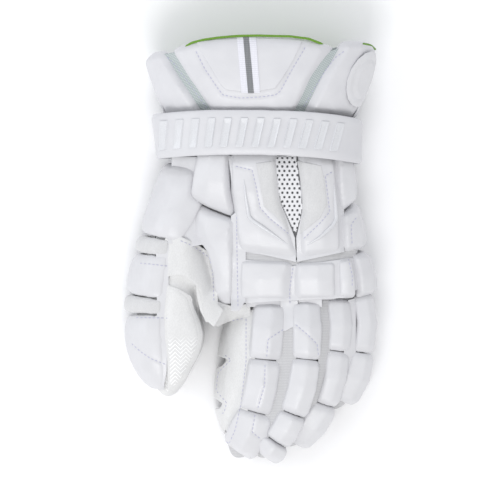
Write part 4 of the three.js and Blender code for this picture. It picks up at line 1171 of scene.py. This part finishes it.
def sewn(label, path, pieces, pitch=3.1, length=2.2, thick=0.62):
    """One row of stitches, as one mesh."""
    spots = walked(path, pitch / 2)
    points, faces = [], []
    for start, end in zip(spots[0::2], spots[1::2]):
        ends = []
        for x, y in (start, end):
            height = top_of(x, y, pieces)
            if height is not None:
                ends.append(Vector((x, y, height)))
        if len(ends) < 2 or abs(ends[0].z - ends[1].z) > mm(2.5):
            continue
        along = (ends[1] - ends[0]).normalized()
        side = along.cross(Vector((0, 0, 1))).normalized()
        up = side.cross(along)
        middle = (ends[0] + ends[1]) / 2 + up * mm(0.12)
        first = len(points)
        for x, y, z in bead_points:
            points.append(middle + side * (x * mm(thick)) + up * (y * mm(thick)) + along * (z * mm(length)))
        faces.extend([first + corner for corner in face] for face in bead_faces)
    mesh = bpy.data.meshes.new(label)
    mesh.from_pydata(points, [], faces)
    row = bpy.data.objects.new(label, mesh)
    bpy.context.scene.collection.objects.link(row)
    return finished(row, thread)


ROWS = {
    "side_column": [(236.5, 216), (237, 250), (237.5, 280), (238, 309)],
    "thumb_plate": [(235, 166.5), (252, 170.5), (256, 187), (260, 208), (270, 219), (290, 235)],
    "little_plate": [(336, 170), (325, 176), (328, 200), (329.5, 212), (320, 223), (302, 240)],
    "outer_pad": [(366, 209), (355, 219), (351, 225), (352, 245)],
    "knuckle_inner": [(293, 267), (289.5, 290), (290, 306)],
    "knuckle_outer": [(348, 258), (352, 275), (352, 288)],
    "index_first": [(284, 329), (268, 339), (266.5, 358)],
    "index_second": [(265, 364), (264.5, 385), (257.5, 409)],
    "index_third": [(255, 414), (252, 432), (262, 440)],
    "middle_first": [(295, 324), (308, 335), (317, 344), (318.5, 356)],
    "cuff_inset": [
        (196, 52), (205, 70), (217, 88), (223, 96), (240, 99), (260, 98), (275, 96), (280, 92.5), (291, 72), (303, 52),
        (306, 46),
    ],
    "index_side": [
        (246, 318), (246, 362), (241, 404), (235, 430), (229, 444), (223, 439), (212, 430), (211, 417), (224, 413),
        (226.5, 403), (216, 391), (218, 373), (231, 360), (219, 351), (215, 337), (219, 328), (231, 321), (246, 318),
    ],
    "web_patch": [(180, 240.5), (190, 244.5), (199, 250), (210, 258), (213, 276), (214, 303)],
    "thumb_tip": [(131, 343), (140, 351), (150, 358), (165, 364)],
    "thumb_upper_band": [(131, 262.5), (150, 264), (167, 266)],
    "thumb_lower_band": [(123, 317.5), (145, 317.5), (168, 318)],
    "thumb_binding": [(167, 57.5), (175, 65), (180, 72), (190, 85), (200, 99), (209, 111)],
    "little_binding": [(344, 52), (335, 58.5), (326, 70), (321, 78), (311, 94), (302, 110)],
}
PRESSED = [
    "index_first", "index_second", "index_third", "middle_first", "cuff_inset", "outer_pad", "thumb_tip", "thumb_plate",
    "little_plate",
]
cushions = list(pads.values())
for name in PRESSED:
    pressed(cushions, ROWS[name])
bpy.context.view_layer.update()
beneath = cushions + list(bridges.values()) + [side_panel, web_patch, palm_panel] + list(trim.values())
stitch_rows = {name: sewn("stitches_" + name, path, beneath) for name, path in ROWS.items()}
print("stitch rows:", len(stitch_rows), "with", sum(len(row.data.polygons) for row in stitch_rows.values()), "faces")
